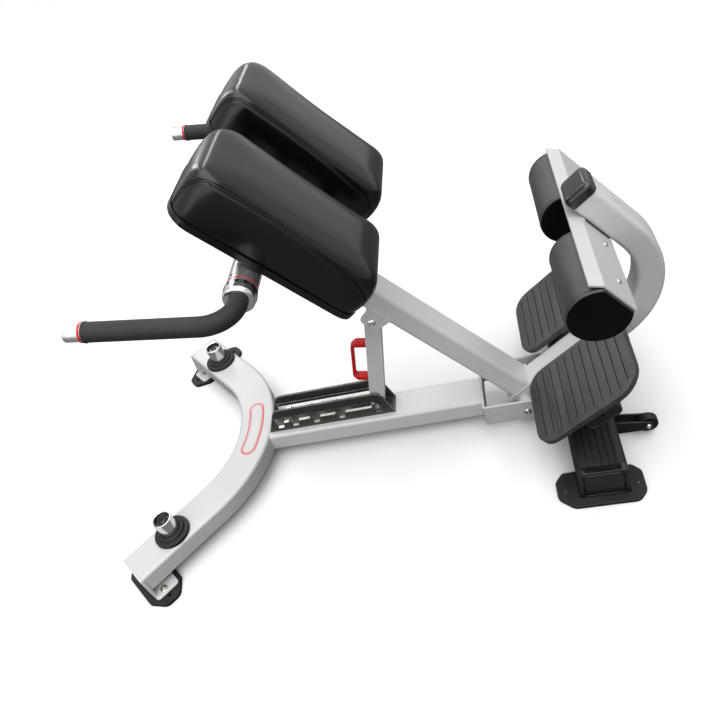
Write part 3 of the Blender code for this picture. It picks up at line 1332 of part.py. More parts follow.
def handle_path(side, start, end):
    """Handle centreline: out of the hub, round the bend and along the grip."""
    straight = HANDLE_Y - HANDLE_BEND
    bend = arc_outline((straight, HANDLE_BEND), HANDLE_BEND, -math.pi / 2.0, 0.0, HANDLE_BEND_POINTS)
    points = [(start, 0.0)] + bend + [(HANDLE_Y, end)]
    return [(side * y, z) for y, z in points]


def build_handle(frame, label, side):
    """One turning handle: bar, toothed collar, rubber grip and end cap."""
    pitch = -(math.pi / 2.0 - HANDLE_PITCH)
    lean = POST_SLOPE - math.pi / 2.0
    turn = Matrix.Rotation(pitch - lean, 4, "Y")
    pivot = axis("handle_axis_" + label, (HUB_B, 0.0, HUB_A), frame, turn)
    bore = HANDLE_BAR_RADIUS + GAP
    collar_start = HUB_HALF_LENGTH + GAP
    collar_end = collar_start + COLLAR_LENGTH
    spigot = HUB_RADIUS - HUB_WALL - COLLAR_SPIGOT_FIT
    collar_profile = [
        (0.0, collar_end),
        (COLLAR_RADIUS - BOLT_DOME, collar_end),
        (COLLAR_RADIUS, collar_end - BOLT_DOME),
        (COLLAR_RADIUS, collar_start),
        (spigot, collar_start),
        (spigot, collar_start - COLLAR_SPIGOT),
        (0.0, collar_start - COLLAR_SPIGOT),
    ]
    bar_mesh = turned_mesh("handle_bar_" + label, collar_profile, FINE_STEPS)
    bar = add("handle_bar_" + label, bar_mesh, "chrome", along_y(0.0, 0.0, 0.0, side), pivot, smooth=True)
    rod = rod_along("bent_rod_" + label, handle_path(side, collar_start, BAR_END), HANDLE_BAR_RADIUS)
    combine(bar, cutter("bent_rod_" + label, rod, None, pivot), "UNION")
    teeth = bmesh.new()
    for index in range(COLLAR_TEETH):
        size = (2.0 * COLLAR_TOOTH_DEPTH, COLLAR_TOOTH_WIDTH, 2.0 * COLLAR_TOOTH_LENGTH)
        tooth = box_mesh("tooth", size, (COLLAR_RADIUS, 0.0, collar_start))
        spin = Matrix.Rotation(2.0 * math.pi * index / COLLAR_TEETH, 4, "Z")
        tooth.transform(spin)
        teeth.from_mesh(tooth)
        bpy.data.meshes.remove(tooth)
    teeth_mesh = bpy.data.meshes.new("collar_teeth_" + label)
    teeth.to_mesh(teeth_mesh)
    teeth.free()
    combine(bar, cutter("collar_teeth_" + label, teeth_mesh, along_y(0.0, 0.0, 0.0, side), pivot))
    grip_start = collar_end + GAP
    wall = GRIP_RADIUS * math.cos(math.pi / HANDLE_SECTION_STEPS) - bore
    path = handle_path(side, grip_start, GRIP_END)
    grip_mesh = swept_tube("grip_" + label, path, circle(GRIP_RADIUS, HANDLE_SECTION_STEPS), wall)
    add("grip_" + label, grip_mesh, "rubber", along_x(), pivot, smooth=True)
    cap_start = GRIP_END + GAP
    depth = BAR_END + 2.0 * GAP
    cap_profile = [
        (0.0, GRIP_CAP_END),
        (GRIP_CAP_RADIUS - GRIP_CAP_EDGE, GRIP_CAP_END),
        (GRIP_CAP_RADIUS, GRIP_CAP_END - GRIP_CAP_EDGE),
        (GRIP_CAP_RADIUS, cap_start + GRIP_RING_LENGTH),
        (GRIP_RING_RADIUS, cap_start + GRIP_RING_LENGTH),
        (GRIP_RING_RADIUS, cap_start),
        (bore, cap_start),
        (bore, depth),
        (0.0, depth),
    ]
    cap = turned_mesh("grip_cap_" + label, cap_profile, ROUND_STEPS)
    cap_place = Matrix.Translation((0.0, side * HANDLE_Y, 0.0))
    add("grip_cap_" + label, cap, "chrome", cap_place, pivot, smooth=True)


def strut_outline(length):
    """Side outline of the strut: blunt crown at the bolt, tapered toe at the pin."""
    half = STRUT_DEPTH / 2.0
    toe = -length - STRUT_TOE
    crown_to = math.pi - STRUT_CROWN_FROM
    crown = arc_outline((0.0, 0.0), STRUT_CROWN_RADIUS, STRUT_CROWN_FROM, crown_to, 2 * ARC_STEPS)
    lower = fillet(
        [
            (-half, -STRUT_CROWN_LENGTH),
            (-half, toe + STRUT_TOE_LENGTH + STRUT_TOE),
            (-STRUT_TOE_WIDTH / 2.0, toe),
            (STRUT_TOE_WIDTH / 2.0, toe),
            (half, toe + STRUT_TOE_LENGTH + STRUT_TOE),
            (half, -STRUT_CROWN_LENGTH),
        ],
        [0.0, STRUT_TOE_FILLET, STRUT_TOE_FILLET, STRUT_TOE_FILLET, STRUT_TOE_FILLET, 0.0],
    )
    return crown + lower


def build_strut(frame):
    """Ladder strut with its red lift handle, hung from the ears."""
    lean = POST_SLOPE - math.pi / 2.0
    turn = Matrix.Rotation(lean, 4, "Y")
    ear = Matrix.Translation((PIVOT_X, 0.0, PIVOT_Z)) @ turn @ Vector((EAR_B, 0.0, EAR_A))
    down_x = ear.x - RACK_PIN_REST_X
    down_z = ear.z - RACK_PIN_REST_Z
    length = math.hypot(down_x, down_z)
    angle = math.atan2(down_x, down_z) - lean
    pivot = axis("strut_axis", (EAR_B, 0.0, EAR_A), frame, Matrix.Rotation(angle, 4, "Y"))
    mesh = flat_mesh("strut_tube", [strut_outline(length)], STRUT_WIDTH)
    strut = add("strut_tube", mesh, "silver", side_plane(), pivot)
    inside = (STRUT_DEPTH - 2.0 * STRUT_WALL, STRUT_WIDTH - 2.0 * STRUT_WALL, 3.0 * length)
    hollow = box_mesh("strut_hollow", inside)
    combine(strut, cutter("strut_hollow", hollow, None, pivot))
    drill = drill_mesh("strut_drill", STRUT_BOLT_RADIUS + GAP, 2.0 * STRUT_WIDTH, SMALL_STEPS)
    combine(strut, cutter("strut_drill", drill, along_y(0.0, 0.0, 0.0), pivot))
    slot_outline = fillet(
        [
            (-STRUT_SLOT_FRONT, -length - STRUT_SLOT_BELOW),
            (STRUT_SLOT_REAR, -length - STRUT_SLOT_BELOW),
            (STRUT_SLOT_REAR, -length + STRUT_SLOT_ABOVE),
            (-STRUT_SLOT_FRONT, -length + STRUT_SLOT_ABOVE),
        ],
        STRUT_SLOT_FILLET,
    )
    slot = flat_mesh("strut_slot", [slot_outline], 2.0 * STRUT_WIDTH)
    combine(strut, cutter("strut_slot", slot, side_plane(), pivot))
    face = -STRUT_DEPTH / 2.0 - GAP
    reach = -LIFT_STANDOFF + LIFT_THICKNESS / 2.0
    top = -LIFT_TOP - LIFT_THICKNESS / 2.0
    bottom = -LIFT_BOTTOM + LIFT_THICKNESS / 2.0
    turn_x = reach + LIFT_CORNER
    upper = arc_outline((turn_x, top - LIFT_CORNER), LIFT_CORNER, math.pi / 2.0, math.pi, LIFT_STEPS)
    under = arc_outline((turn_x, bottom + LIFT_CORNER), LIFT_CORNER, math.pi, 1.5 * math.pi, LIFT_STEPS)
    path = [(face, top)] + upper + under + [(face, bottom)]
    lift = sweep_mesh("lift_handle", path, rectangle(LIFT_THICKNESS, LIFT_WIDTH, LIFT_EDGE), True)
    add("lift_handle", lift, "red", side_plane(), pivot, smooth=True)


def build_rack_pin(root):
    """Stepped cross pin that rides in the rack slot and carries the strut's toe."""
    pivot = axis("rack_pin_axis", (RACK_PIN_REST_X, 0.0, RACK_PIN_REST_Z), root)
    half = RACK_PIN_HALF_LENGTH
    neck = RACK_HALF_WIDTH - RACK_PLATE - GAP
    profile = [
        (0.0, half),
        (RACK_PIN_RADIUS - EDGE_BREAK, half),
        (RACK_PIN_RADIUS, half - EDGE_BREAK),
        (RACK_PIN_RADIUS, neck),
        (RACK_PIN_NECK_RADIUS, neck),
        (RACK_PIN_NECK_RADIUS, -neck),
        (RACK_PIN_RADIUS, -neck),
        (RACK_PIN_RADIUS, EDGE_BREAK - half),
        (RACK_PIN_RADIUS - EDGE_BREAK, -half),
        (0.0, -half),
    ]
    pin = turned_mesh("rack_pin", profile, SMALL_STEPS)
    add("rack_pin", pin, "steel", along_y(0.0, 0.0, 0.0), pivot, smooth=True)


def build():
    """Make every piece of the bench."""
    clear_scene()
    root = axis("bench_origin", (0.0, 0.0, 0.0))
    arc = build_front_arc()
    build_front_feet(arc)
    build_horns()
    build_beam()
    build_rack()
    build_fork()
    tube = build_rear_cross()
    build_wheels(root, tube)
    lean = Matrix.Rotation(POST_SLOPE - math.pi / 2.0, 4, "Y")
    frame = axis("frame_axis", (PIVOT_X, 0.0, PIVOT_Z), root, lean)
    build_post(frame)
    build_strut_bolt(frame)
    arch = build_arch(frame)
    build_foot_plates(frame)
    build_foot_bar(frame, arch)
    build_rollers(frame)
    build_pads(frame)
    build_hub(frame)
    for label, side in SIDES:
        build_handle(frame, label, side)
    build_strut(frame)
    build_rack_pin(root)


build()
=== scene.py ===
"""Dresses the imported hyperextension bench: finer forms, finishes, studio and camera."""

import logging
import math
from collections.abc import Iterable, Sequence
from dataclasses import dataclass, field, replace
from enum import Enum

import bmesh
import bpy
from mathutils import Matrix, Vector
from mathutils.bvhtree import BVHTree
from mathutils.kdtree import KDTree

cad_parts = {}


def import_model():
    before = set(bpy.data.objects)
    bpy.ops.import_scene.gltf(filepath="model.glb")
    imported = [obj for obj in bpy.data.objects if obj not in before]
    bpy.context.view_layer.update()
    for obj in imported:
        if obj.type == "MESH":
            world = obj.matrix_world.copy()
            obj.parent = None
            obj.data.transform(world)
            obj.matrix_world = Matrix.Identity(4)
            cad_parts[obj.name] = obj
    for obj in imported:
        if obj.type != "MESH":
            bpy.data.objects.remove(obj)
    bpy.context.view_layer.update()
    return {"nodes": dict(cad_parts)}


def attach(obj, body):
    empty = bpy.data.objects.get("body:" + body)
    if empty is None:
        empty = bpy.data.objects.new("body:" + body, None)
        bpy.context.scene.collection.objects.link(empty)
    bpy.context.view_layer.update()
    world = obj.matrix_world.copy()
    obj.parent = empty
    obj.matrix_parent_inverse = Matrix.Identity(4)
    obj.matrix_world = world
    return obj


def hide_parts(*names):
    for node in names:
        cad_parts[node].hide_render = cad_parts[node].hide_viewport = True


LOG = logging.getLogger("bench")
TURN = 2.0 * math.pi
MERGE = 2e-5
GAP = 0.0003
Point = tuple[float, float]
Triple = tuple[float, float, float]


class Side(Enum):
    """The two sides of the bench, by the sign of Y."""

    NEAR = -1
    FAR = 1

    @property
    def label(self) -> str:
        """The side's word in the CAD node names."""
        return self.name.lower()


class Body(Enum):
    """The CAD bodies that pieces ride on."""

    BASE = "base"
    FRAME = "upper_frame"
    STRUT = "strut"
    PIN = "rack_pin"
    HANDLE_NEAR = "handle_near"
    HANDLE_FAR = "handle_far"
    WHEEL_NEAR = "wheel_near"
    WHEEL_FAR = "wheel_far"


class Slot(Enum):
    """Names of the material slots."""

    SILVER = "silver_paint"
    BLACK = "black_paint"
    GUNMETAL = "gunmetal_paint"
    RED = "red_paint"
    POLISHED = "polished_steel"
    ZINC = "zinc_steel"
    RUBBER = "black_rubber"
    RIBBED = "ribbed_rubber"
    GRIP = "grip_rubber"
    VINYL = "black_vinyl"
    ROLLER = "grey_vinyl"
    PLASTIC = "black_plastic"
    BUSH = "bush_plastic"
    BOARD = "board_wood"


# Frames

# A runs up along the tilted post from the pivot, and B square to it, towards its upper side
PIVOT = Vector((0.367, 0.0, 0.0635))
LEAN = math.radians(53.2 - 90.0)
HUB_A = 0.8066
HUB_B = 0.0533
HANDLE_PITCH = math.radians(11.3)
PIN_REST = Vector((-0.0075, 0.0, 0.1245))
EAR_A = 0.4606
EAR_B = -0.0369


def about_y(angle: float) -> Matrix:
    """A turn about Y by an angle in radians."""
    return Matrix.Rotation(angle, 4, "Y")


TILT = Matrix.Translation(PIVOT) @ about_y(LEAN)
HUB = Matrix.Translation(TILT @ Vector((HUB_B, 0.0, HUB_A))) @ about_y(HANDLE_PITCH - math.pi / 2.0)
EAR = TILT @ Vector((EAR_B, 0.0, EAR_A))
STRUT_TURN = math.atan2(EAR.x - PIN_REST.x, EAR.z - PIN_REST.z)
STRUT = Matrix.Translation(EAR) @ about_y(STRUT_TURN)


def along_y(place: Vector, side: int = 1) -> Matrix:
    """Puts a turned piece's axis along Y, towards the far side, or with side -1 the near one."""
    return Matrix.Translation(place) @ Matrix.Rotation(-side * math.pi / 2.0, 4, "X")


def upright(place: Vector = Vector()) -> Matrix:
    """Stands a flat XY outline up in the XZ plane, with its origin at a place."""
    return Matrix.Translation(place) @ Matrix.Rotation(math.pi / 2.0, 4, "X")


# Solids


class Solid:
    """One closed mesh in the making, shaped with bmesh operators."""

    def __init__(self) -> None:
        """Starts empty."""
        self.bm = bmesh.new()
        self.end: bmesh.types.BMFace | None = None

    @classmethod
    def face(cls, points: Sequence[Point], radii: float | Sequence[float] = 0.0, steps: int = 6,
             hold: float = 0.0) -> "Solid":
        """A flat face in XY.

        Args:
            points: Corners in order.
            radii: Corner radius, or one for each corner.
            steps: Segments of each rounded corner.
            hold: Distance from a long side's ends of the points that keep it flat when swept.

        Returns:
            A solid that holds the one face, ready to be pushed or bent.
        """
        solid = cls()
        corners = [solid.bm.verts.new((x, y, 0.0)) for x, y in points]
        solid.bm.faces.new(corners)
        each = [radii] * len(corners) if isinstance(radii, float) else list(radii)
        for corner, radius in zip(corners, each):
            if radius <= 0.0:
                continue
            before, after = (edge.other_vert(corner).co - corner.co for edge in corner.link_edges)
            reach = radius / math.tan(before.angle(after) / 2.0)
            bmesh.ops.bevel(solid.bm, geom=[corner], offset=reach, offset_type="OFFSET", segments=steps,
                            profile=0.5, affect="VERTICES", material=-1)
        for edge in [e for e in solid.bm.edges if hold and e.calc_length() > 8.0 * hold]:
            first, last = edge.verts
            length = edge.calc_length()
            bmesh.utils.edge_split(edge, first, hold / length)
            rest = next(e for e in last.link_edges if abs(e.calc_length() - length + hold) < 1e-7)
            bmesh.utils.edge_split(rest, last, hold / (length - hold))
        solid.end = solid.bm.faces[:][0]
        return solid

    @classmethod
    def box_face(cls, width: float, height: float, radius: float, centre: Point = (0.0, 0.0),
                 steps: int = 6, hold: float = 0.0) -> "Solid":
        """A rounded rectangle in XY.

        Args:
            width: Size along X.
            height: Size along Y.
            radius: Corner radius.
            centre: Middle of the rectangle.
            steps: Segments of each corner.
            hold: Distance of the points that keep swept sides flat.

        Returns:
            A solid that holds the one face.
        """
        x, y = centre
        w, h = width / 2.0, height / 2.0
        return cls.face([(x - w, y - h), (x + w, y - h), (x + w, y + h), (x - w, y + h)], radius, steps, hold)

    @classmethod
    def round_face(cls, radius: float, steps: int) -> "Solid":
        """A disc in XY.

        Args:
            radius: Its radius.
            steps: Points round it.

        Returns:
            A solid that holds the one face.
        """
        solid = cls()
        bmesh.ops.create_circle(solid.bm, cap_ends=True, radius=radius, segments=steps)
        solid.end = solid.bm.faces[:][0]
        return solid

    @classmethod
    def lathe(cls, profile: Sequence[Point], steps: int = 64) -> "Solid":
        """Turns a profile about Z.

        Args:
            profile: Radius and height pairs, run down the outer side. A profile that never meets
                the axis is a ring, and is closed.
            steps: Segments of the turn.

        Returns:
            The turned solid.
        """
        solid = cls()
        points = [solid.bm.verts.new((r, 0.0, z)) for r, z in profile]
        ring = min(r for r, _ in profile) > 1e-6
        pairs = list(zip(points, points[1:])) + ([(points[-1], points[0])] if ring else [])
        for pair in pairs:
            solid.bm.edges.new(pair)
        bmesh.ops.spin(solid.bm, geom=solid.bm.verts[:] + solid.bm.edges[:], cent=(0, 0, 0), axis=(0, 0, 1),
                       dvec=(0, 0, 0), angle=TURN, steps=steps, use_merge=True, use_duplicate=False)
        bmesh.ops.remove_doubles(solid.bm, verts=solid.bm.verts, dist=1e-6)
        return solid

    @classmethod
    def cad(cls, node: str, whole: bool = True) -> "Solid":
        """A clean copy of a CAD node's mesh.

        Args:
            node: The node's name.
            whole: Whether its flat faces are made whole, which suits faces without holes.

        Returns:
            The merged copy.
        """
        solid = cls()
        solid.bm.from_mesh(bpy.data.objects[node].data)
        bmesh.ops.remove_doubles(solid.bm, verts=solid.bm.verts, dist=MERGE)
        if not whole:
            return solid
        bmesh.ops.dissolve_limit(solid.bm, angle_limit=math.radians(0.6), verts=solid.bm.verts,
                                 edges=solid.bm.edges, use_dissolve_boundaries=False, delimit=set())
        return solid

    def grow(self) -> list[bmesh.types.BMVert]:
        """Extrudes the end face in place.

        Returns:
            The new end's points, still to be moved.
        """
        made = bmesh.ops.extrude_face_region(self.bm, geom=[self.end])["geom"]
        self.end = next(item for item in made if isinstance(item, bmesh.types.BMFace))
        return [item for item in made if isinstance(item, bmesh.types.BMVert)]

    def push(self, step: Vector) -> "Solid":
        """Extrudes the end face by a step."""
        bmesh.ops.translate(self.bm, vec=step, verts=self.grow())
        return self

    def rise(self, height: float) -> "Solid":
        """Extrudes the end face along Z."""
        return self.push(Vector((0.0, 0.0, height)))

    def bend(self, centre: Vector, axis: Vector, angle: float, steps: int) -> "Solid":
        """Sweeps the end face round an axis.

        Args:
            centre: A point on the axis.
            axis: Its direction.
            angle: How far it turns, in radians.
            steps: Segments of the bend.

        Returns:
            This solid.
        """
        for _ in range(steps):
            bmesh.ops.rotate(self.bm, cent=centre, verts=self.grow(),
                             matrix=Matrix.Rotation(angle / steps, 3, axis))
        return self

    def inset(self, width: float, step: Vector) -> "Solid":
        """Insets the end face and moves it.

        Args:
            width: How far its edges are drawn in.
            step: How far the inner face moves.

        Returns:
            This solid.
        """
        bmesh.ops.inset_region(self.bm, faces=[self.end], thickness=width, use_even_offset=True)
        bmesh.ops.translate(self.bm, vec=step, verts=self.end.verts[:])
        return self

    def taper(self, scale: float, step: Vector) -> "Solid":
        """Extrudes the end face and shrinks it evenly.

        Args:
            scale: Its new size as a share of the old.
            step: How far it moves.

        Returns:
            This solid.
        """
        self.push(step)
        middle = self.end.calc_center_median()
        for vert in self.end.verts:
            vert.co = middle.lerp(vert.co, scale)
        return self

    def soften(self, width: float, segments: int = 3, angle: float = 40.0) -> "Solid":
        """Rounds the sharp edges.

        Args:
            width: Width of the rounding.
            segments: Its segments.
            angle: The least fold, in degrees, that counts as sharp.

        Returns:
            This solid.
        """
        bmesh.ops.recalc_face_normals(self.bm, faces=self.bm.faces)
        limit = math.radians(angle)
        edges = [e for e in self.bm.edges if e.is_manifold and e.calc_face_angle(0.0) > limit]
        bmesh.ops.bevel(self.bm, geom=edges, offset=width, offset_type="OFFSET", segments=segments,
                        profile=0.5, affect="EDGES", material=-1, clamp_overlap=True)
        bmesh.ops.remove_doubles(self.bm, verts=self.bm.verts, dist=1e-6)
        return self

    def place(self, matrix: Matrix) -> "Solid":
        """Moves the whole mesh by a matrix."""
        bmesh.ops.transform(self.bm, matrix=matrix, verts=self.bm.verts)
        return self

    def shift(self, x: float, y: float, z: float) -> "Solid":
        """Moves the whole mesh by a step along each axis."""
        return self.place(Matrix.Translation((x, y, z)))

    def join(self, other: "Solid") -> "Solid":
        """Takes in another solid's mesh.

        Args:
            other: The solid that is used up.

        Returns:
            This solid.
        """
        spare = bpy.data.meshes.new("spare")
        other.mesh(spare)
        self.bm.from_mesh(spare)
        bpy.data.meshes.remove(spare)
        return self

    def mesh(self, target: bpy.types.Mesh) -> bpy.types.Mesh:
        """Writes the finished mesh.

        Args:
            target: The mesh to fill.

        Returns:
            The same mesh, smooth shaded, with its sharp edges marked.
        """
        bmesh.ops.recalc_face_normals(self.bm, faces=self.bm.faces)
        self.bm.to_mesh(target)
        self.bm.free()
        if "custom_normal" in target.attributes:
            target.attributes.remove(target.attributes["custom_normal"])
        target.shade_smooth()
        target.set_sharp_from_angle(angle=math.radians(38))
        return target


def put_up(name: str, data: bpy.types.ID) -> bpy.types.Object:
    """Makes an object and links it to the scene.

    Args:
        name: Its name.
        data: Its mesh, curve, light or camera.

    Returns:
        The object.
    """
    item = bpy.data.objects.new(name, data)
    bpy.context.scene.collection.objects.link(item)
    return item


def applied(holder: bpy.types.Object) -> bpy.types.Mesh:
    """A new mesh of an object with its modifiers or its curve's depth applied."""
    graph = bpy.context.evaluated_depsgraph_get()
    return bpy.data.meshes.new_from_object(holder.evaluated_get(graph))


def mirrored(half: Sequence[Point]) -> list[Point]:
    """A whole lathe profile from its upper half, run from the top down."""
    return list(half) + [(radius, -height) for radius, height in reversed(half)]


def tube_curve(points: Iterable[Vector], radius: float, ripple: float = 0.0, pitch: float = 0.004,
               closed: bool = False) -> Solid:
    """A round bead along a line, made from a curve.

    Args:
        points: The line.
        radius: Radius of the bead.
        ripple: Share by which the radius swells and sinks, as a weld's does.
        pitch: Length of one ripple.
        closed: Whether the line runs back into itself.

    Returns:
        The bead as a solid.
    """
    stations = list(points)
    if ripple:
        fine: list[Vector] = []
        pairs = zip(stations, stations[1:] + stations[:1]) if closed else zip(stations, stations[1:])
        for start, end in pairs:
            count = max(1, round((end - start).length / (pitch / 4.0)))
            fine += [start.lerp(end, index / count) for index in range(count)]
        stations = fine if closed else fine + [stations[-1]]
    curve = bpy.data.curves.new("line", "CURVE")
    curve.dimensions = "3D"
    curve.bevel_depth = radius
    curve.bevel_resolution = 2
    curve.use_fill_caps = True
    spline = curve.splines.new("POLY")
    spline.points.add(len(stations) - 1)
    for index, (point, place) in enumerate(zip(spline.points, stations)):
        point.co = (*place, 1.0)
        point.radius = 1.0 + ripple * math.sin(index * math.pi / 2.0)
    spline.use_cyclic_u = closed
    holder = put_up("line", curve)
    mesh = applied(holder)
    bpy.data.objects.remove(holder, do_unlink=True)
    bpy.data.curves.remove(curve)
    solid = Solid()
    solid.bm.from_mesh(mesh)
    bpy.data.meshes.remove(mesh)
    bmesh.ops.remove_doubles(solid.bm, verts=solid.bm.verts, dist=1e-6)
    return solid


def arc(centre: Vector, first: Vector, second: Vector, start: float, end: float, steps: int) -> list[Vector]:
    """Points round a centre, where first and second are the radii at angle 0 and at a quarter turn."""
    angles = [start + (end - start) * index / steps for index in range(steps + 1)]
    return [centre + first * math.cos(t) + second * math.sin(t) for t in angles]


# Shading


class Graph:
    """Adds nodes to one node tree and joins them."""

    def __init__(self, tree: bpy.types.NodeTree) -> None:
        """Takes the tree to work in."""
        self.tree = tree

    def add(self, kind: str, settings: dict[str, object] | None = None,
            inputs: dict[str | int, object] | None = None) -> bpy.types.Node:
        """Adds one node.

        Args:
            kind: Its type name after "ShaderNode", or a full one for group ends.
            settings: Properties to set.
            inputs: Values, or sockets to join, by input name or number.

        Returns:
            The node.
        """
        node = self.tree.nodes.new(kind if kind.startswith("NodeGroup") else "ShaderNode" + kind)
        for key, value in (settings or {}).items():
            setattr(node, key, value)
        for key, value in (inputs or {}).items():
            self.feed(node.inputs[key], value)
        return node

    def feed(self, socket: bpy.types.NodeSocket, value: object) -> None:
        """Sets an input or joins it to an output.

        Args:
            socket: The input.
            value: A plain value or an output socket.
        """
        if isinstance(value, bpy.types.NodeSocket):
            self.tree.links.new(value, socket)
        else:
            socket.default_value = value

    def math(self, operation: str, first: object, second: object = 0.0,
             clamp: bool = False) -> bpy.types.NodeSocket:
        """A Math node's result from two values or sockets, kept from 0 to 1 where clamp is set."""
        node = self.add("Math", {"operation": operation, "use_clamp": clamp}, {0: first, 1: second})
        return node.outputs[0]

    def span(self, value: object, low: float, high: float, to_low: float,
             to_high: float) -> bpy.types.NodeSocket:
        """A Map Range node's clamped result: low gives to_low and high gives to_high."""
        node = self.add("MapRange", {}, {0: value, 1: low, 2: high, 3: to_low, 4: to_high})
        return node.outputs[0]

    def blend(self, share: object, first: object, second: object) -> bpy.types.NodeSocket:
        """A mix of two colours, with the share of the second one."""
        node = self.add("Mix", {"data_type": "RGBA"}, {0: share, 6: first, 7: second})
        return node.outputs[2]


class Effect(Enum):
    """Shader effects that several finishes share, each one node group."""

    GRAIN = "surface_grain"
    EDGES = "edge_wear_and_highlight"
    DUST = "settled_dust"
    LEATHER = "leather_grain"

    def tree(self) -> bpy.types.NodeTree:
        """The effect's node group, made when first asked for.

        Returns:
            The group.
        """
        found = bpy.data.node_groups.get(self.value)
        if found:
            return found
        group = bpy.data.node_groups.new(self.value, "ShaderNodeTree")
        {
            Effect.GRAIN: build_grain,
            Effect.EDGES: build_edges,
            Effect.DUST: build_dust,
            Effect.LEATHER: build_leather,
        }[self](group)
        return group


def group_ends(group: bpy.types.NodeTree, inputs: dict[str, float | None],
               outputs: dict[str, str]) -> tuple[Graph, bpy.types.Node, bpy.types.Node]:
    """Gives a node group its sockets.

    Args:
        group: The new group.
        inputs: Input names with default numbers, or None for a vector.
        outputs: Output names with socket types.

    Returns:
        The graph, its input end and its output end.
    """
    for name, value in inputs.items():
        kind = "NodeSocketVector" if value is None else "NodeSocketFloat"
        socket = group.interface.new_socket(name, in_out="INPUT", socket_type=kind)
        if value is not None:
            socket.default_value = value
    for name, kind in outputs.items():
        group.interface.new_socket(name, in_out="OUTPUT", socket_type=kind)
    graph = Graph(group)
    return graph, graph.add("NodeGroupInput"), graph.add("NodeGroupOutput")


def build_grain(group: bpy.types.NodeTree) -> None:
    """Broad cloudy tone and a fine bump height.

    Args:
        group: The empty node group.
    """
    graph, start, end = group_ends(group, {"Vector": None, "Tone Scale": 6.0, "Fine Scale": 900.0},
                                   {"Tone": "NodeSocketFloat", "Height": "NodeSocketFloat"})
    vector = start.outputs["Vector"]
    tone = graph.add("TexNoise", {}, {"Vector": vector, "Scale": start.outputs["Tone Scale"],
                                      "Detail": 4.0, "Roughness": 0.55})
    fine = graph.add("TexNoise", {}, {"Vector": vector, "Scale": start.outputs["Fine Scale"],
                                      "Detail": 2.0, "Roughness": 0.5})
    graph.feed(end.inputs["Tone"], graph.span(tone.outputs[0], 0.3, 0.7, 0.0, 1.0))
    graph.feed(end.inputs["Height"], fine.outputs[0])


def build_edges(group: bpy.types.NodeTree) -> None:
    """Mask of the edges, where rubbed surface and painted highlight show, and the normal rounded over them.

    Args:
        group: The empty node group.
    """
    graph, start, end = group_ends(group, {"Vector": None, "Radius": 0.0015, "Breakup": 60.0},
                                   {"Mask": "NodeSocketFloat", "Normal": "NodeSocketVector"})
    rounded = graph.add("Bevel", {"samples": 6}, {"Radius": start.outputs["Radius"]})
    plain = graph.add("NewGeometry")
    dot = graph.add("VectorMath", {"operation": "DOT_PRODUCT"},
                    {0: rounded.outputs[0], 1: plain.outputs["Normal"]})
    fold = graph.span(graph.math("SUBTRACT", 1.0, dot.outputs["Value"]), 0.02, 0.22, 0.0, 1.0)
    noise = graph.add("TexNoise", {}, {"Vector": start.outputs["Vector"],
                                       "Scale": start.outputs["Breakup"], "Detail": 3.0})
    patchy = graph.span(noise.outputs[0], 0.35, 0.62, 0.35, 1.0)
    graph.feed(end.inputs["Mask"], graph.math("MULTIPLY", fold, patchy, True))
    graph.feed(end.inputs["Normal"], rounded.outputs[0])


def build_dust(group: bpy.types.NodeTree) -> None:
    """Mask of the dust that lies on faces that look up.

    Args:
        group: The empty node group.
    """
    graph, start, end = group_ends(group, {"Vector": None, "Scale": 25.0}, {"Mask": "NodeSocketFloat"})
    plain = graph.add("NewGeometry")
    parts = graph.add("SeparateXYZ", {}, {0: plain.outputs["Normal"]})
    up = graph.span(parts.outputs[2], 0.3, 1.0, 0.0, 1.0)
    noise = graph.add("TexNoise", {}, {"Vector": start.outputs["Vector"], "Scale": start.outputs["Scale"],
                                       "Detail": 6.0, "Roughness": 0.65})
    specks = graph.span(noise.outputs[0], 0.42, 0.72, 0.0, 1.0)
    graph.feed(end.inputs["Mask"], graph.math("MULTIPLY", up, specks, True))


def build_leather(group: bpy.types.NodeTree) -> None:
    """Embossed pebble grain: a bump height, and a mask of the creases between pebbles for their painted
    shade.

    Args:
        group: The empty node group.
    """
    graph, start, end = group_ends(group, {"Vector": None, "Scale": 620.0},
                                   {"Height": "NodeSocketFloat", "Crease": "NodeSocketFloat"})
    warp = graph.add("TexNoise", {}, {"Vector": start.outputs["Vector"], "Scale": 160.0, "Detail": 2.0})
    shift = graph.add("VectorMath", {"operation": "MULTIPLY_ADD"},
                      {0: warp.outputs[1], 1: (0.0016, 0.0016, 0.0016), 2: start.outputs["Vector"]})
    cells = graph.add("TexVoronoi", {"feature": "DISTANCE_TO_EDGE"},
                      {"Vector": shift.outputs[0], "Scale": start.outputs["Scale"]})
    pebble = graph.span(cells.outputs["Distance"], 0.0, 0.22, 0.0, 1.0)
    fine = graph.add("TexNoise", {}, {"Vector": start.outputs["Vector"], "Scale": 2600.0, "Detail": 1.0})
    height = graph.math("ADD", graph.math("MULTIPLY", pebble, 0.8),
                        graph.math("MULTIPLY", fine.outputs[0], 0.2))
    graph.feed(end.inputs["Height"], height)
    graph.feed(end.inputs["Crease"], graph.math("SUBTRACT", 1.0, pebble, True))


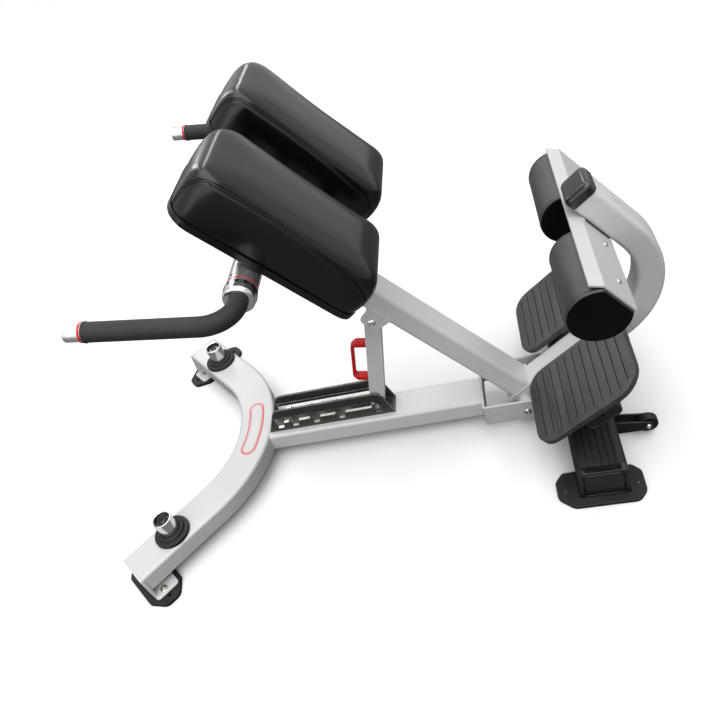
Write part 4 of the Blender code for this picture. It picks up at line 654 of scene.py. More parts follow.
@dataclass(frozen=True)
class Finish:
    """A coated or bare surface with grain, lighter edges that are partly rubbed and partly painted highlight,
    and a little dust.

    Attributes:
        name: The material's name.
        base: Main colour, linear.
        shade: Second colour of the broad clouds, linear.
        edge: Colour of the edges, linear: partly rubbed surface, partly painted highlight.
        wear: How much of the edge colour shows.
        roughness: Lowest and highest roughness of the clouds.
        metallic: Metalness of the shader.
        coat: Clear coat weight.
        coat_roughness: Roughness of the clear coat.
        specular: Specular level.
        grain_scale: Scale of the fine bump.
        grain_depth: Depth of the fine bump in metres.
        edge_radius: Radius over which edges look rounded, in metres.
        dust: How much dust shows.
        leather: Scale of an embossed pebble grain, or 0 for none.
        brush_and_sheen_stretch: Stretch of the clouds and the fine bump along each axis: brush marks, and on
            ribbed rubber streaks of painted sheen.
        tone_scale: Scale of the broad clouds.
    """

    name: str
    base: Triple
    shade: Triple
    edge: Triple
    wear: float = 0.25
    roughness: Point = (0.35, 0.45)
    metallic: float = 0.0
    coat: float = 0.0
    coat_roughness: float = 0.1
    specular: float = 0.5
    grain_scale: float = 900.0
    grain_depth: float = 0.00002
    edge_radius: float = 0.0012
    dust: float = 0.05
    leather: float = 0.0
    brush_and_sheen_stretch: Triple = (1.0, 1.0, 1.0)
    tone_scale: float = 6.0

    def material(self) -> bpy.types.Material:
        """The finish's material, made when first asked for.

        Returns:
            The material.
        """
        title = self.name + "_finish"
        found = bpy.data.materials.get(title)
        if found:
            return found
        material = bpy.data.materials.new(title)
        material.use_nodes = True
        graph = Graph(material.node_tree)
        shader = material.node_tree.nodes["Principled BSDF"]
        coords = graph.add("TexCoord").outputs["Object"]
        scaled = graph.add("Mapping", {}, {"Vector": coords, "Scale": self.brush_and_sheen_stretch}).outputs[0]
        grain = graph.add("Group", {"node_tree": Effect.GRAIN.tree()},
                          {"Vector": scaled, "Fine Scale": self.grain_scale, "Tone Scale": self.tone_scale})
        edges = graph.add("Group", {"node_tree": Effect.EDGES.tree()},
                          {"Vector": coords, "Radius": self.edge_radius})
        dust = graph.add("Group", {"node_tree": Effect.DUST.tree()}, {"Vector": coords})
        tone = grain.outputs["Tone"]
        colour = graph.blend(tone, (*self.base, 1.0), (*self.shade, 1.0))
        height = grain.outputs["Height"]
        depth = self.grain_depth
        if self.leather:
            pebbles = graph.add("Group", {"node_tree": Effect.LEATHER.tree()},
                                {"Vector": coords, "Scale": self.leather})
            height = pebbles.outputs["Height"]
            # Painted shade: the creases between pebbles are darkened in colour.
            crease_shade = graph.math("MULTIPLY", pebbles.outputs["Crease"], 0.45)
            colour = graph.blend(crease_shade, colour, tuple(c * 0.55 for c in self.shade) + (1.0,))
        # The edge colour is partly rubbed surface and partly a painted highlight along edges.
        wear_and_highlight_share = graph.math("MULTIPLY", edges.outputs["Mask"], self.wear, True)
        colour = graph.blend(wear_and_highlight_share, colour, (*self.edge, 1.0))
        dusty = graph.math("MULTIPLY", dust.outputs["Mask"], self.dust, True)
        colour = graph.blend(dusty, colour, (0.55, 0.54, 0.52, 1.0))
        rough = graph.span(tone, 0.0, 1.0, *self.roughness)
        rough = graph.math("ADD", rough, graph.math("MULTIPLY", dusty, 0.3), True)
        bump = graph.add("Bump", {}, {"Distance": depth, "Height": height,
                                      "Normal": edges.outputs["Normal"]})
        graph.feed(shader.inputs["Base Color"], colour)
        graph.feed(shader.inputs["Roughness"], rough)
        graph.feed(shader.inputs["Normal"], bump.outputs[0])
        shader.inputs["Metallic"].default_value = self.metallic
        shader.inputs["Specular IOR Level"].default_value = self.specular
        shader.inputs["Coat Weight"].default_value = self.coat
        shader.inputs["Coat Roughness"].default_value = self.coat_roughness
        return material


# Edge colours lighter than the base are partly rubbed surface and partly painted highlight.
PALE_PAINT = Finish("pale_paint", (0.6, 0.595, 0.59), (0.565, 0.56, 0.555), (0.8, 0.8, 0.79), wear=0.5,
    roughness=(0.34, 0.42), coat=0.15, coat_roughness=0.22, grain_scale=420.0, grain_depth=0.00003,
    dust=0.02, edge_radius=0.0005)
BEAM_PAINT = replace(PALE_PAINT, name="beam_paint", base=(0.70, 0.685, 0.675),
    shade=(0.66, 0.645, 0.635), edge=(0.86, 0.85, 0.84), dust=0.03)
SILVER_PAINT = replace(PALE_PAINT, name="silver_paint", base=(0.655, 0.655, 0.66),
    shade=(0.62, 0.62, 0.625), edge=(0.78, 0.78, 0.78), roughness=(0.36, 0.44), coat_roughness=0.25,
    edge_radius=0.0003)
BLACK_PAINT = Finish("black_paint", (0.006, 0.006, 0.0063), (0.01, 0.01, 0.0104), (0.14, 0.14, 0.14),
    wear=0.5, roughness=(0.34, 0.45), grain_scale=700.0, dust=0.008)
GUNMETAL = Finish("gunmetal_paint", (0.040, 0.036, 0.031), (0.085, 0.078, 0.068), (0.72, 0.7, 0.66),
    wear=1.0, roughness=(0.3, 0.46), metallic=0.35, grain_scale=300.0, grain_depth=0.00003,
    edge_radius=0.0024, brush_and_sheen_stretch=(0.12, 1.0, 1.6))
RED_PAINT = Finish("red_paint", (0.68, 0.003, 0.007), (0.6, 0.003, 0.006), (0.72, 0.02, 0.025), wear=0.3,
    roughness=(0.26, 0.36), coat=0.1, coat_roughness=0.15, grain_scale=500.0, dust=0.0, specular=0.35)
CHROME = Finish("polished_steel", (0.8, 0.8, 0.81), (0.7, 0.7, 0.71), (0.92, 0.92, 0.92), wear=0.3,
    roughness=(0.16, 0.24), metallic=1.0, grain_scale=500.0, grain_depth=0.000004, edge_radius=0.0006,
    dust=0.0)
SATIN_STEEL = Finish("satin_steel", (0.70, 0.70, 0.705), (0.62, 0.62, 0.63), (0.75, 0.75, 0.75), wear=0.3,
    roughness=(0.22, 0.30), metallic=0.86, grain_scale=700.0, grain_depth=0.000004, edge_radius=0.0006,
    dust=0.0, brush_and_sheen_stretch=(1.0, 0.04, 1.0))
CAP_STEEL = Finish("cap_steel", (0.66, 0.66, 0.665), (0.5, 0.5, 0.505), (0.85, 0.85, 0.85), wear=0.4,
    roughness=(0.26, 0.34), metallic=0.75, grain_scale=700.0, grain_depth=0.00001, edge_radius=0.0006,
    dust=0.0, brush_and_sheen_stretch=(1.0, 1.0, 0.05), tone_scale=120.0)
ZINC = Finish("zinc_steel", (0.62, 0.61, 0.58), (0.5, 0.49, 0.46), (0.85, 0.85, 0.82), wear=0.4,
    roughness=(0.22, 0.36), metallic=1.0, grain_scale=900.0, grain_depth=0.00001, edge_radius=0.0004,
    dust=0.0)
RUBBER = Finish("black_rubber", (0.006, 0.006, 0.0062), (0.010, 0.010, 0.0102), (0.16, 0.16, 0.155),
    wear=0.6, roughness=(0.48, 0.62), grain_scale=1100.0, grain_depth=0.00004, dust=0.015, specular=0.32)
# The ribbed rubber's tone streaks, stretched along the grooves, are painted sheen.
RIBBED = Finish("ribbed_rubber", (0.018, 0.018, 0.0183), (0.056, 0.055, 0.053), (0.24, 0.24, 0.24), wear=0.8,
    roughness=(0.26, 0.42), grain_scale=1100.0, grain_depth=0.00004, dust=0.01, tone_scale=34.0,
    brush_and_sheen_stretch=(1.0, 0.1, 1.0))
GRIP = Finish("grip_rubber", (0.0055, 0.0055, 0.0058), (0.008, 0.008, 0.0083), (0.03, 0.03, 0.03), wear=0.2,
    roughness=(0.60, 0.70), grain_scale=1500.0, grain_depth=0.00005, dust=0.006, edge_radius=0.0004)
VINYL = Finish("black_vinyl", (0.0028, 0.0028, 0.0036), (0.0040, 0.0040, 0.0050), (0.012, 0.012, 0.013),
    wear=0.15, roughness=(0.22, 0.26), grain_depth=0.000012, edge_radius=0.0006, dust=0.008,
    leather=900.0, specular=0.42)
ROLLER_SKIN = Finish("grey_vinyl", (0.036, 0.037, 0.042), (0.052, 0.053, 0.059), (0.06, 0.06, 0.062),
    wear=0.15, roughness=(0.34, 0.44), grain_depth=0.00008, edge_radius=0.0006, dust=0.008, leather=420.0)
ROLLER_END = Finish("roller_end_vinyl", (0.002, 0.002, 0.003), (0.003, 0.003, 0.004), (0.012, 0.012, 0.013),
    wear=0.3, roughness=(0.34, 0.42), specular=0.1, grain_depth=0.00003, dust=0.0, leather=700.0)
PLASTIC = Finish("black_plastic", (0.006, 0.006, 0.0065), (0.009, 0.009, 0.0095), (0.16, 0.16, 0.16),
    wear=0.5, roughness=(0.12, 0.18), coat=0.3, coat_roughness=0.12, grain_scale=800.0, dust=0.0)
GLOSS_PLASTIC = Finish("gloss_plastic", (0.005, 0.005, 0.0055), (0.007, 0.007, 0.0075), (0.05, 0.05, 0.05),
    wear=0.2, roughness=(0.16, 0.20), coat=0.3, coat_roughness=0.12, grain_scale=800.0,
    grain_depth=0.000008, edge_radius=0.0003, dust=0.0)
BUSH = Finish("bush_plastic", (0.030, 0.030, 0.031), (0.040, 0.040, 0.041), (0.08, 0.08, 0.08), wear=0.3,
    roughness=(0.40, 0.50))
THREAD = Finish("seam_thread", (0.0012, 0.0012, 0.0014), (0.002, 0.002, 0.002), (0.004, 0.004, 0.004),
    wear=0.1, roughness=(0.60, 0.70), grain_scale=3000.0, grain_depth=0.00003, dust=0.0, specular=0.1)


# Pieces


def add_piece(name: str, solid: Solid, finish: Finish, body: Body,
              replaces: Sequence[str] = (), weighted: bool = True) -> bpy.types.Object:
    """Makes a piece from a solid and sets it riding.

    Args:
        name: The piece's name.
        solid: Its mesh in the row frame; it is used up.
        finish: Its material.
        body: The CAD body that it rides on.
        replaces: CAD nodes that it stands for.
        weighted: Whether large faces keep their shading flat.

    Returns:
        The new object.
    """
    mesh = solid.mesh(bpy.data.meshes.new(name))
    mesh.materials.append(finish.material())
    piece = put_up(name, mesh)
    if weighted:
        even = piece.modifiers.new("even_shading", "WEIGHTED_NORMAL")
        even.keep_sharp = True
        even.weight = 90
    LOG.info("made %s on %s", name, body.value)
    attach(piece, body.value)
    if replaces:
        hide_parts(*replaces)
    return piece


def stand_in(node: str, solid: Solid, finish: Finish, body: Body,
             weighted: bool = True) -> bpy.types.Object:
    """Adds the piece that stands for one CAD node and is named after it."""
    return add_piece(node + "_skin", solid, finish, body, [node], weighted)


@dataclass(frozen=True)
class Trim:
    """One CAD node that keeps its shape, with its edges rounded.

    Attributes:
        node: The CAD node.
        finish: Its finish.
        body: Its body.
        slot: Its material slot; not used.
        edge: Width of the rounded edges.
        segments: Segments of the rounding.
        fold: The least fold that is rounded, in degrees.
        whole: Whether flat faces are made whole first.
    """

    node: str
    finish: Finish
    body: Body
    slot: Slot
    edge: float = 0.001
    segments: int = 3
    fold: float = 50.0
    whole: bool = True

    def dress(self) -> bpy.types.Object:
        """Makes the rounded piece that stands for the node.

        Returns:
            The piece.
        """
        solid = Solid.cad(self.node, self.whole)
        if self.edge > 0.0:
            solid.soften(self.edge, self.segments, self.fold)
        return stand_in(self.node, solid, self.finish, self.body)


def disc(bore: float, radius: float, height: float, inset: float, drop: float, steps: int) -> Solid:
    """A turned disc or washer about Z, its seat at Z = 0 and its upper rim bevelled by inset and drop."""
    profile = [(bore, height), (radius - inset, height), (radius, height - drop), (radius, 0.0), (bore, 0.0)]
    return Solid.lathe(profile, steps)


def socket_head(radius: float, height: float, reach: float, shank: float) -> Solid:
    """A domed bolt head with a hexagon socket.

    Args:
        radius: Head radius.
        height: Head height above its seat at Z = 0.
        reach: Length of shank under the seat.
        shank: Shank radius.

    Returns:
        The bolt about Z.
    """
    key = radius * 0.42
    deep = height * 0.45
    dome = arc(Vector((0.0, 0.0, 0.0)), Vector((radius, 0.0, 0.0)), Vector((0.0, height, 0.0)),
               math.pi * 0.40, 0.05, 8)
    profile = [(0.0, deep), (key, deep), (key, dome[0].y)]
    profile += [(p.x, p.y) for p in dome] + [(radius, 0.0), (shank, 0.0), (shank, -reach), (0.0, -reach)]
    return Solid.lathe(profile, 36)


def cross_bolt(centre: Vector, half: float, head: Sequence[float]) -> Solid:
    """A bolt along Y that shows a head at each end.

    Args:
        centre: Its middle.
        half: Distance of the heads' seats from the middle.
        head: Radius, height, reach and shank of each head, as socket_head takes them.

    Returns:
        Both heads as one solid.
    """
    bolt = Solid()
    for way in (-1, 1):
        seat = centre + Vector((0.0, way * (half + GAP), 0.0))
        bolt.join(socket_head(*head).place(along_y(seat, way)))
    return bolt


@dataclass
class BaseFrame:
    """Front arc, beam, horns and their feet.

    Attributes:
        centre_x: X of the arc's centre.
        radius: Radius of its centreline.
        angle: Half the angle that it turns through.
        leg: Length of each straight leg.
        width: Width of the arc's tube.
        height: Height of the tubes.
        bottom: Height of their undersides.
        corner: Corner radius of the tubes.
        overhang: How far the end plates stand out past the legs.
        flange: Length of the floor flanges.
        foot_width: Width of the end brackets.
        plate: Thickness of their plates.
        foot_height: Height of the rubber feet.
        horn_along: Place of the horns along the legs.
        horn_radius: Radius of the horns.
        horn_rim: Wall at their open tops.
        horn_top: Height of their tops.
        horn_recess: Depth of the recess in their tops.
        bumper_radius: Radius of the rubber boots.
        bumper_step: Radius of their upper step.
        bumper_height: Their height.
        beam_width: Width of the base beam.
        pill: Length and width of the badge place.
        notches: X of the rack's notches.
    """

    centre_x: float = -0.708
    radius: float = 0.330
    angle: float = math.radians(43.6)
    leg: float = 0.247
    width: float = 0.100
    height: float = 0.055
    bottom: float = 0.032
    corner: float = 0.008
    overhang: float = 0.006
    flange: float = 0.066
    foot_width: float = 0.141
    plate: float = 0.004
    foot_height: float = 0.0105
    horn_along: float = 0.120
    horn_radius: float = 0.0242
    horn_rim: float = 0.0030
    horn_top: float = 0.1500
    horn_recess: float = 0.010
    bumper_radius: float = 0.047
    bumper_step: float = 0.036
    bumper_height: float = 0.017
    beam_width: float = 0.092
    pill: Point = (0.190, 0.045)
    notches: tuple[float, ...] = (-0.2890, -0.2460, -0.1850, -0.1130, -0.0110)

    @property
    def top(self) -> float:
        """Height of the tubes' top faces."""
        return self.bottom + self.height

    def leg_point(self, side: Side, distance: float) -> Vector:
        """Centre of the arc tube on a leg.

        Args:
            side: Which leg.
            distance: How far along it from the arc.

        Returns:
            The point at floor level.
        """
        x = self.centre_x + self.radius * math.cos(self.angle) - distance * math.sin(self.angle)
        y = self.radius * math.sin(self.angle) + distance * math.cos(self.angle)
        return Vector((x, side.value * y, 0.0))

    def end_frame(self, side: Side) -> Matrix:
        """Frame at a leg's end, X outwards along the leg."""
        turn = math.atan2(side.value * math.cos(self.angle), -math.sin(self.angle))
        return Matrix.Translation(self.leg_point(side, self.leg)) @ Matrix.Rotation(turn, 4, "Z")

    def build_arc(self) -> None:
        """The curved front tube with its end brackets."""
        start = self.leg_point(Side.NEAR, self.leg)
        travel = Vector((math.sin(self.angle), math.cos(self.angle), 0.0))
        away = Vector((-math.sin(self.angle), math.cos(self.angle), 0.0))
        turn = Matrix((
            (travel.y, 0.0, travel.x, start.x),
            (-travel.x, 0.0, travel.y, start.y),
            (0.0, 1.0, 0.0, self.bottom + self.height / 2.0),
            (0.0, 0.0, 0.0, 1.0),
        ))
        tube = Solid.box_face(self.width, self.height, self.corner, hold=0.0008).place(turn)
        tube.push(travel * self.leg)
        tube.bend(Vector((self.centre_x, 0.0, 0.0)), Vector((0, 0, 1)), 2.0 * self.angle, 64)
        tube.push(away * self.leg)
        for side in Side:
            tube.join(self.bracket(side))
        stand_in("front_arc", tube, PALE_PAINT, Body.BASE, weighted=False)

    def bracket(self, side: Side) -> Solid:
        """End plate and floor flange of one leg.

        Args:
            side: Which leg.

        Returns:
            The bracket in place.
        """
        low = self.foot_height + GAP
        half = self.foot_width / 2.0 - 0.012
        bite = self.plate / 2.0
        shape = [(-half, low + bite), (half, low + bite), (self.width / 2.0, self.top - 0.0005),
                 (-self.width / 2.0, self.top - 0.0005)]
        plate = Solid.face(shape, [0.002, 0.002, 0.008, 0.008])
        plate.rise(self.overhang + bite).soften(0.0012, 3)
        stand = Matrix(((0, 0, 1, -bite), (1, 0, 0, 0), (0, 1, 0, 0), (0, 0, 0, 1)))
        plate.place(self.end_frame(side) @ stand)
        middle = self.overhang - bite / 2.0 - self.flange / 2.0
        flange = Solid.box_face(self.flange, self.foot_width, 0.010, (middle, 0.0))
        flange.rise(self.plate).soften(0.0012, 3)
        flange.place(self.end_frame(side) @ Matrix.Translation((0.0, 0.0, low)))
        return plate.join(flange)

    def build_horns(self) -> None:
        """Turned plate horns, their rubber boots, a dark lining of painted shade in each recess, and the
        bolts inside them, darkened as painted shade.
        """
        base = self.top + GAP
        height = self.horn_top - base
        r = self.horn_radius
        recess = r - self.horn_rim
        floor = height - self.horn_recess
        recess_shade_bore = 0.0150
        for side in Side:
            seat = Matrix.Translation(self.leg_point(side, self.horn_along) + Vector((0, 0, base)))
            horn = Solid.lathe([(0.0, floor), (recess - 0.001, floor), (recess, floor + 0.001),
                                (recess, height - 0.0006), (recess + 0.0006, height),
                                (r - 0.0012, height), (r - 0.0004, height - 0.0004),
                                (r, height - 0.0014), (r, 0.0), (0.0, 0.0)], 72)
            stand_in("plate_horn_" + side.label, horn.place(seat), CHROME, Body.BASE)
            # A dark lining that paints the shade inside the horn's recess.
            recess_shade = Solid.lathe([(recess_shade_bore, floor + 0.0005), (recess - 0.0012, floor + 0.0005),
                               (recess - 0.0003, floor + 0.0014), (recess - 0.0003, height - 0.0012),
                               (recess + 0.0002, height - 0.0012), (recess + 0.0002, floor - 0.0002),
                               (recess_shade_bore, floor - 0.0002)], 72)
            add_piece("horn_recess_shade_" + side.label, recess_shade.place(seat), PLASTIC, Body.BASE)
            bore = r + GAP
            step, rim, high = self.bumper_step, self.bumper_radius, self.bumper_height
            boot = Solid.lathe([(bore, high - 0.002), (bore + 0.0025, high), (step - 0.0085, high),
                                (step - 0.0075, high - 0.0012), (step - 0.0055, high - 0.0012),
                                (step - 0.0045, high - 0.0002), (step - 0.0022, high - 0.0006),
                                (step, high - 0.0035), (step + 0.0004, 0.0112), (step + 0.0015, 0.0102),
                                (rim - 0.0035, 0.0100), (rim - 0.0012, 0.0088), (rim, 0.0060),
                                (rim, 0.0), (bore, 0.0)], 80)
            stand_in("horn_bumper_" + side.label, boot.place(seat), RUBBER, Body.BASE)
            bolt = socket_head(radius=0.0095, height=0.006, reach=0.0004, shank=0.0060)
            washer = disc(0.0055, 0.0145, 0.0012, 0.0007, 0.0006, 48)
            place = seat @ Matrix.Translation((0.0, 0.0, floor + GAP))
            # The bolt takes the black plastic finish as painted shade in the recess.
            stand_in("horn_bolt_" + side.label, bolt.join(washer).place(place), PLASTIC, Body.BASE)

    def build_nuts(self) -> None:
        """The two nuts on each front flange."""
        seat = self.foot_height + GAP + self.plate + GAP
        along, spread = -0.024, 0.053
        for side in Side:
            for name, across in (("inner", spread), ("outer", -spread)):
                nut = Solid.round_face(0.0080, 6).rise(0.0046).soften(0.0005, 2)
                stud = disc(0.0, 0.0038, 0.0060, 0.0006, 0.0006, 28)
                washer = disc(0.0036, 0.0098, 0.0010, 0.0006, 0.0005, 40)
                place = self.end_frame(side) @ Matrix.Translation((along, -side.value * across, seat))
                full = "foot_bolt_%s_%s" % (side.label, name)
                stand_in(full, nut.join(stud).join(washer).place(place), ZINC, Body.BASE)

    def build_badge(self) -> None:
        """A bare raised pill on the middle of the arc's top face."""
        length, width = self.pill
        inner = self.radius - width / 2.0
        outer = self.radius + width / 2.0
        reach = (length - width) / 2.0 / self.radius
        layers = (("arc_badge_rim", 0.0, 0.0005, RED_PAINT), ("arc_badge_gap", -0.0036, 0.0008, PALE_PAINT),
                  ("arc_badge_line", -0.0058, 0.0011, RED_PAINT),
                  ("arc_badge_face", -0.0074, 0.0014, PALE_PAINT))
        for name, grow, lift, finish in layers:
            far, near = outer + grow, inner - grow
            line = arc(Vector(), Vector((far, 0.0, 0.0)), Vector((0.0, far, 0.0)), -reach, reach, 24)
            line += self.pill_end(reach, width / 2.0 + grow, 1)[1:-1]
            line += arc(Vector(), Vector((near, 0.0, 0.0)), Vector((0.0, near, 0.0)), reach, -reach, 24)
            line += self.pill_end(reach, width / 2.0 + grow, -1)[1:-1]
            badge = Solid.face([(p.x, p.y) for p in line])
            badge.rise(lift).soften(0.0002, 2)
            badge.shift(self.centre_x, 0.0, self.top - 0.0001)
            add_piece(name, badge, finish, Body.BASE)

    def pill_end(self, reach: float, radius: float, way: int) -> list[Vector]:
        """Half circle that closes one end of the pill.

        Args:
            reach: Angle of the end's centre on the arc.
            radius: Half the pill's width.
            way: 1 for the far end, -1 for the near end.

        Returns:
            Points from the first long side to the second.
        """
        out = Vector((math.cos(way * reach), math.sin(way * reach), 0.0))
        along = Vector((-out.y, out.x, 0.0)) * way
        start, end = (0.0, math.pi) if way > 0 else (math.pi, 0.0)
        return arc(out * self.radius, out * radius, along * radius, start, end, 14)

    def build_welds(self) -> None:
        """Weld beads at the beam's front end and at the brackets."""
        half = self.beam_width / 2.0
        rear = self.radius + self.width / 2.0
        top = self.top - 0.0004
        line = []
        for index in range(17):
            y = half * 0.93 * (index / 8.0 - 1.0)
            line.append(Vector((self.centre_x + math.sqrt(rear * rear - y * y) + 0.0006, y, top)))
        bead = tube_curve(line, 0.0020, 0.22)
        for side in Side:
            frame = self.end_frame(side)
            run = [frame @ Vector((-0.0006, side.value * w * self.width * 0.42, self.top - 0.0006))
                   for w in (-1.0, 1.0)]
            bead.join(tube_curve(run, 0.0012, 0.2))
        add_piece("arc_weld", bead, PALE_PAINT, Body.BASE, weighted=False)

    def build_rack_liners(self) -> None:
        """Bright seats on the rack's ridges and notches, partly rubbed metal and partly painted highlight,
        and dark strips of painted shade along it.
        """
        ledge, drop, half, start = 0.1165, 0.0180, 0.014, -0.3085
        width, height, corner, wall = 0.0078, 0.0013, 0.0008, 0.0257
        least, trim, floor = 0.008, 0.002, 0.0145
        edges = [start] + [x + way * half for x in self.notches for way in (-1.0, 1.0)]
        ridges = [(low, high) for low, high in zip(edges[::2], edges[1::2]) if high - low >= least]
        seats = [((low + high) / 2.0, high - low - trim, ledge) for low, high in ridges]
        seats += [(x, floor, ledge - drop) for x in self.notches]
        # Bright metal seats: partly rubbed bare metal, partly painted highlight.
        seat_wear_and_highlight = Solid()
        for side in Side:
            for x, length, level in seats:
                seat = Solid.box_face(length, width, corner, (x, side.value * wall))
                seat_wear_and_highlight.join(seat.rise(height).shift(0.0, 0.0, level + GAP))
        add_piece("rack_liners", seat_wear_and_highlight, ZINC, Body.BASE)
        # Dark strips inside the plates: painted shade seen through the rack's windows.
        length, width, corner, wall = 0.2780, 0.0014, 0.0004, 0.0229
        middle, bottom, height = -0.1560, 0.1303, 0.0100
        window_shade = Solid()
        for side in Side:
            shade_strip = Solid.box_face(length, width, corner, (middle, side.value * wall))
            window_shade.join(shade_strip.rise(height).shift(0.0, 0.0, bottom))
        add_piece("rack_window_shade", window_shade, GUNMETAL, Body.BASE)

    def build(self) -> None:
        """Makes every piece of the front of the base."""
        self.build_arc()
        self.build_horns()
        self.build_nuts()
        self.build_badge()
        self.build_welds()
        for side in Side:
            Trim("front_foot_pad_" + side.label, RUBBER, Body.BASE, Slot.RUBBER, 0.0022, 4).dress()
        Trim("base_beam", BEAM_PAINT, Body.BASE, Slot.SILVER, 0.0008).dress()
        Trim("adjust_rack", GUNMETAL, Body.BASE, Slot.GUNMETAL, 0.0007, 2, whole=False).dress()
        self.build_rack_liners()
        Trim("pivot_fork", PALE_PAINT, Body.BASE, Slot.SILVER, 0.0016).dress()


@dataclass
class RearCross:
    """Rear cross member, its caps, feet and transport wheels.

    Attributes:
        front_x: X of the cross tube's front face.
        depth: The tube's size along X.
        wheel_y: Distance of the wheels from the middle plane.
        wheel_radius: Radius of the wheels.
        wheel_width: Width of the wheels.
        axle_x: X of the axles.
        axle_z: Height of the axles.
    """

    front_x: float = 0.449
    depth: float = 0.108
    wheel_y: float = 0.145
    wheel_radius: float = 0.0235
    wheel_width: float = 0.020
    axle_x: float = 0.633
    axle_z: float = 0.034

    def build_wheels(self) -> None:
        """Moulded wheels with a hub, web and rounded tread."""
        half = self.wheel_width / 2.0
        r = self.wheel_radius
        bore, clear, cheek = 0.0043, 0.0012, 0.0035
        profile = mirrored([(bore, half), (0.0085, half), (0.0092, half - 0.0016), (0.0160, half - 0.0026),
                            (0.0180, half - 0.0006), (r - 0.0020, half), (r - 0.0006, half - 0.0008),
                            (r, half - 0.0022), (r, 0.0014), (r - 0.0010, 0.0006)])
        bodies = {Side.NEAR: Body.WHEEL_NEAR, Side.FAR: Body.WHEEL_FAR}
        for side in Side:
            centre = Vector((self.axle_x, side.value * self.wheel_y, self.axle_z))
            wheel = Solid.lathe(profile, 64).place(along_y(centre))
            stand_in("wheel_" + side.label, wheel, RUBBER, bodies[side])
            bolt = cross_bolt(centre, half + clear + cheek, (0.0075, 0.0050, 0.012, 0.0040))
            stand_in("wheel_bolt_" + side.label, bolt, ZINC, Body.BASE)

    def build_foot(self, side: Side) -> None:
        """A moulded foot: a broad sole and stepped collars round the tube's end.

        Args:
            side: Which foot.
        """
        way = side.value
        inner, outer, end, sole_height = 0.2405, 0.3375, 0.3195, 0.0100
        step_corners = [0.002, 0.0, 0.0, 0.0, 0.0, 0.002, 0.012, 0.012]
        x0, x1 = self.front_x, self.front_x + self.depth
        sole = [(0.3995, inner + 0.024), (0.4180, inner), (0.5750, inner), (0.5935, inner + 0.020),
                (0.5935, outer - 0.024), (0.5740, outer), (0.4330, outer), (0.3995, outer - 0.028)]
        corners = [0.018, 0.012, 0.012, 0.016, 0.02, 0.02, 0.02, 0.022]
        foot = Solid.face([(x, way * y) for x, y in sole], corners)
        foot.rise(sole_height).soften(0.0022, 3)
        for grow, low, high in ((0.0150, 0.0098, 0.0142), (0.0085, 0.0138, 0.0178)):
            near, far, tip = x0 - 2.0 * GAP, x1 + 2.0 * GAP, end + 2.0 * GAP
            start = inner + 0.005
            points = [(x0 - grow, start), (near, start), (near, tip), (far, tip), (far, start),
                      (x1 + grow, start), (x1 + grow, end + grow), (x0 - grow, end + grow)]
            step = Solid.face([(x, way * y) for x, y in points], step_corners)
            step.rise(high - low).soften(0.0012, 3)
            foot.join(step.shift(0.0, 0.0, low))
        stand_in("rear_foot_" + side.label, foot, RUBBER, Body.BASE)
        holes = Solid()
        for x, y in ((0.4180, 0.2942), (0.5800, 0.2960)):
            profile = [(0.0, 0.0002), (0.0034, 0.0002), (0.0042, 0.0005), (0.0048, 0.0), (0.0, 0.0)]
            holes.join(Solid.lathe(profile, 32).shift(x, way * y, sole_height))
        add_piece("rear_foot_holes_" + side.label, holes, PLASTIC, Body.BASE)

    def build_panel(self, side: Side) -> None:
        """The raised panel in the end cap's recess.

        Args:
            side: Which cap.
        """
        width, height, corner, middle, thickness = 0.0850, 0.0690, 0.0090, 0.0568, 0.0055
        panel = Solid.box_face(width, height, corner, (self.front_x + self.depth / 2.0, middle))
        panel.rise(thickness).soften(0.0016, 3)
        start = -0.3128 if side is Side.NEAR else 0.3183
        add_piece("end_cap_panel_" + side.label, panel.place(upright(Vector((0.0, start, 0.0)))), PLASTIC,
                  Body.BASE)

    def build(self) -> None:
        """Makes every piece of the rear of the base."""
        self.build_wheels()
        Trim("rear_cross_tube", BLACK_PAINT, Body.BASE, Slot.BLACK, 0.0008).dress()
        for side in Side:
            Trim("rear_tread_" + side.label, RUBBER, Body.BASE, Slot.RUBBER, 0.0008, 2).dress()
            Trim("rear_end_cap_" + side.label, PLASTIC, Body.BASE, Slot.PLASTIC, 0.0030, 4).dress()
            self.build_foot(side)
            self.build_panel(side)
        fork_half = 0.080
        bolt = cross_bolt(PIVOT, fork_half, (0.0095, 0.0050, 0.030, 0.0060))
        stand_in("pivot_bolt", bolt, ZINC, Body.BASE)


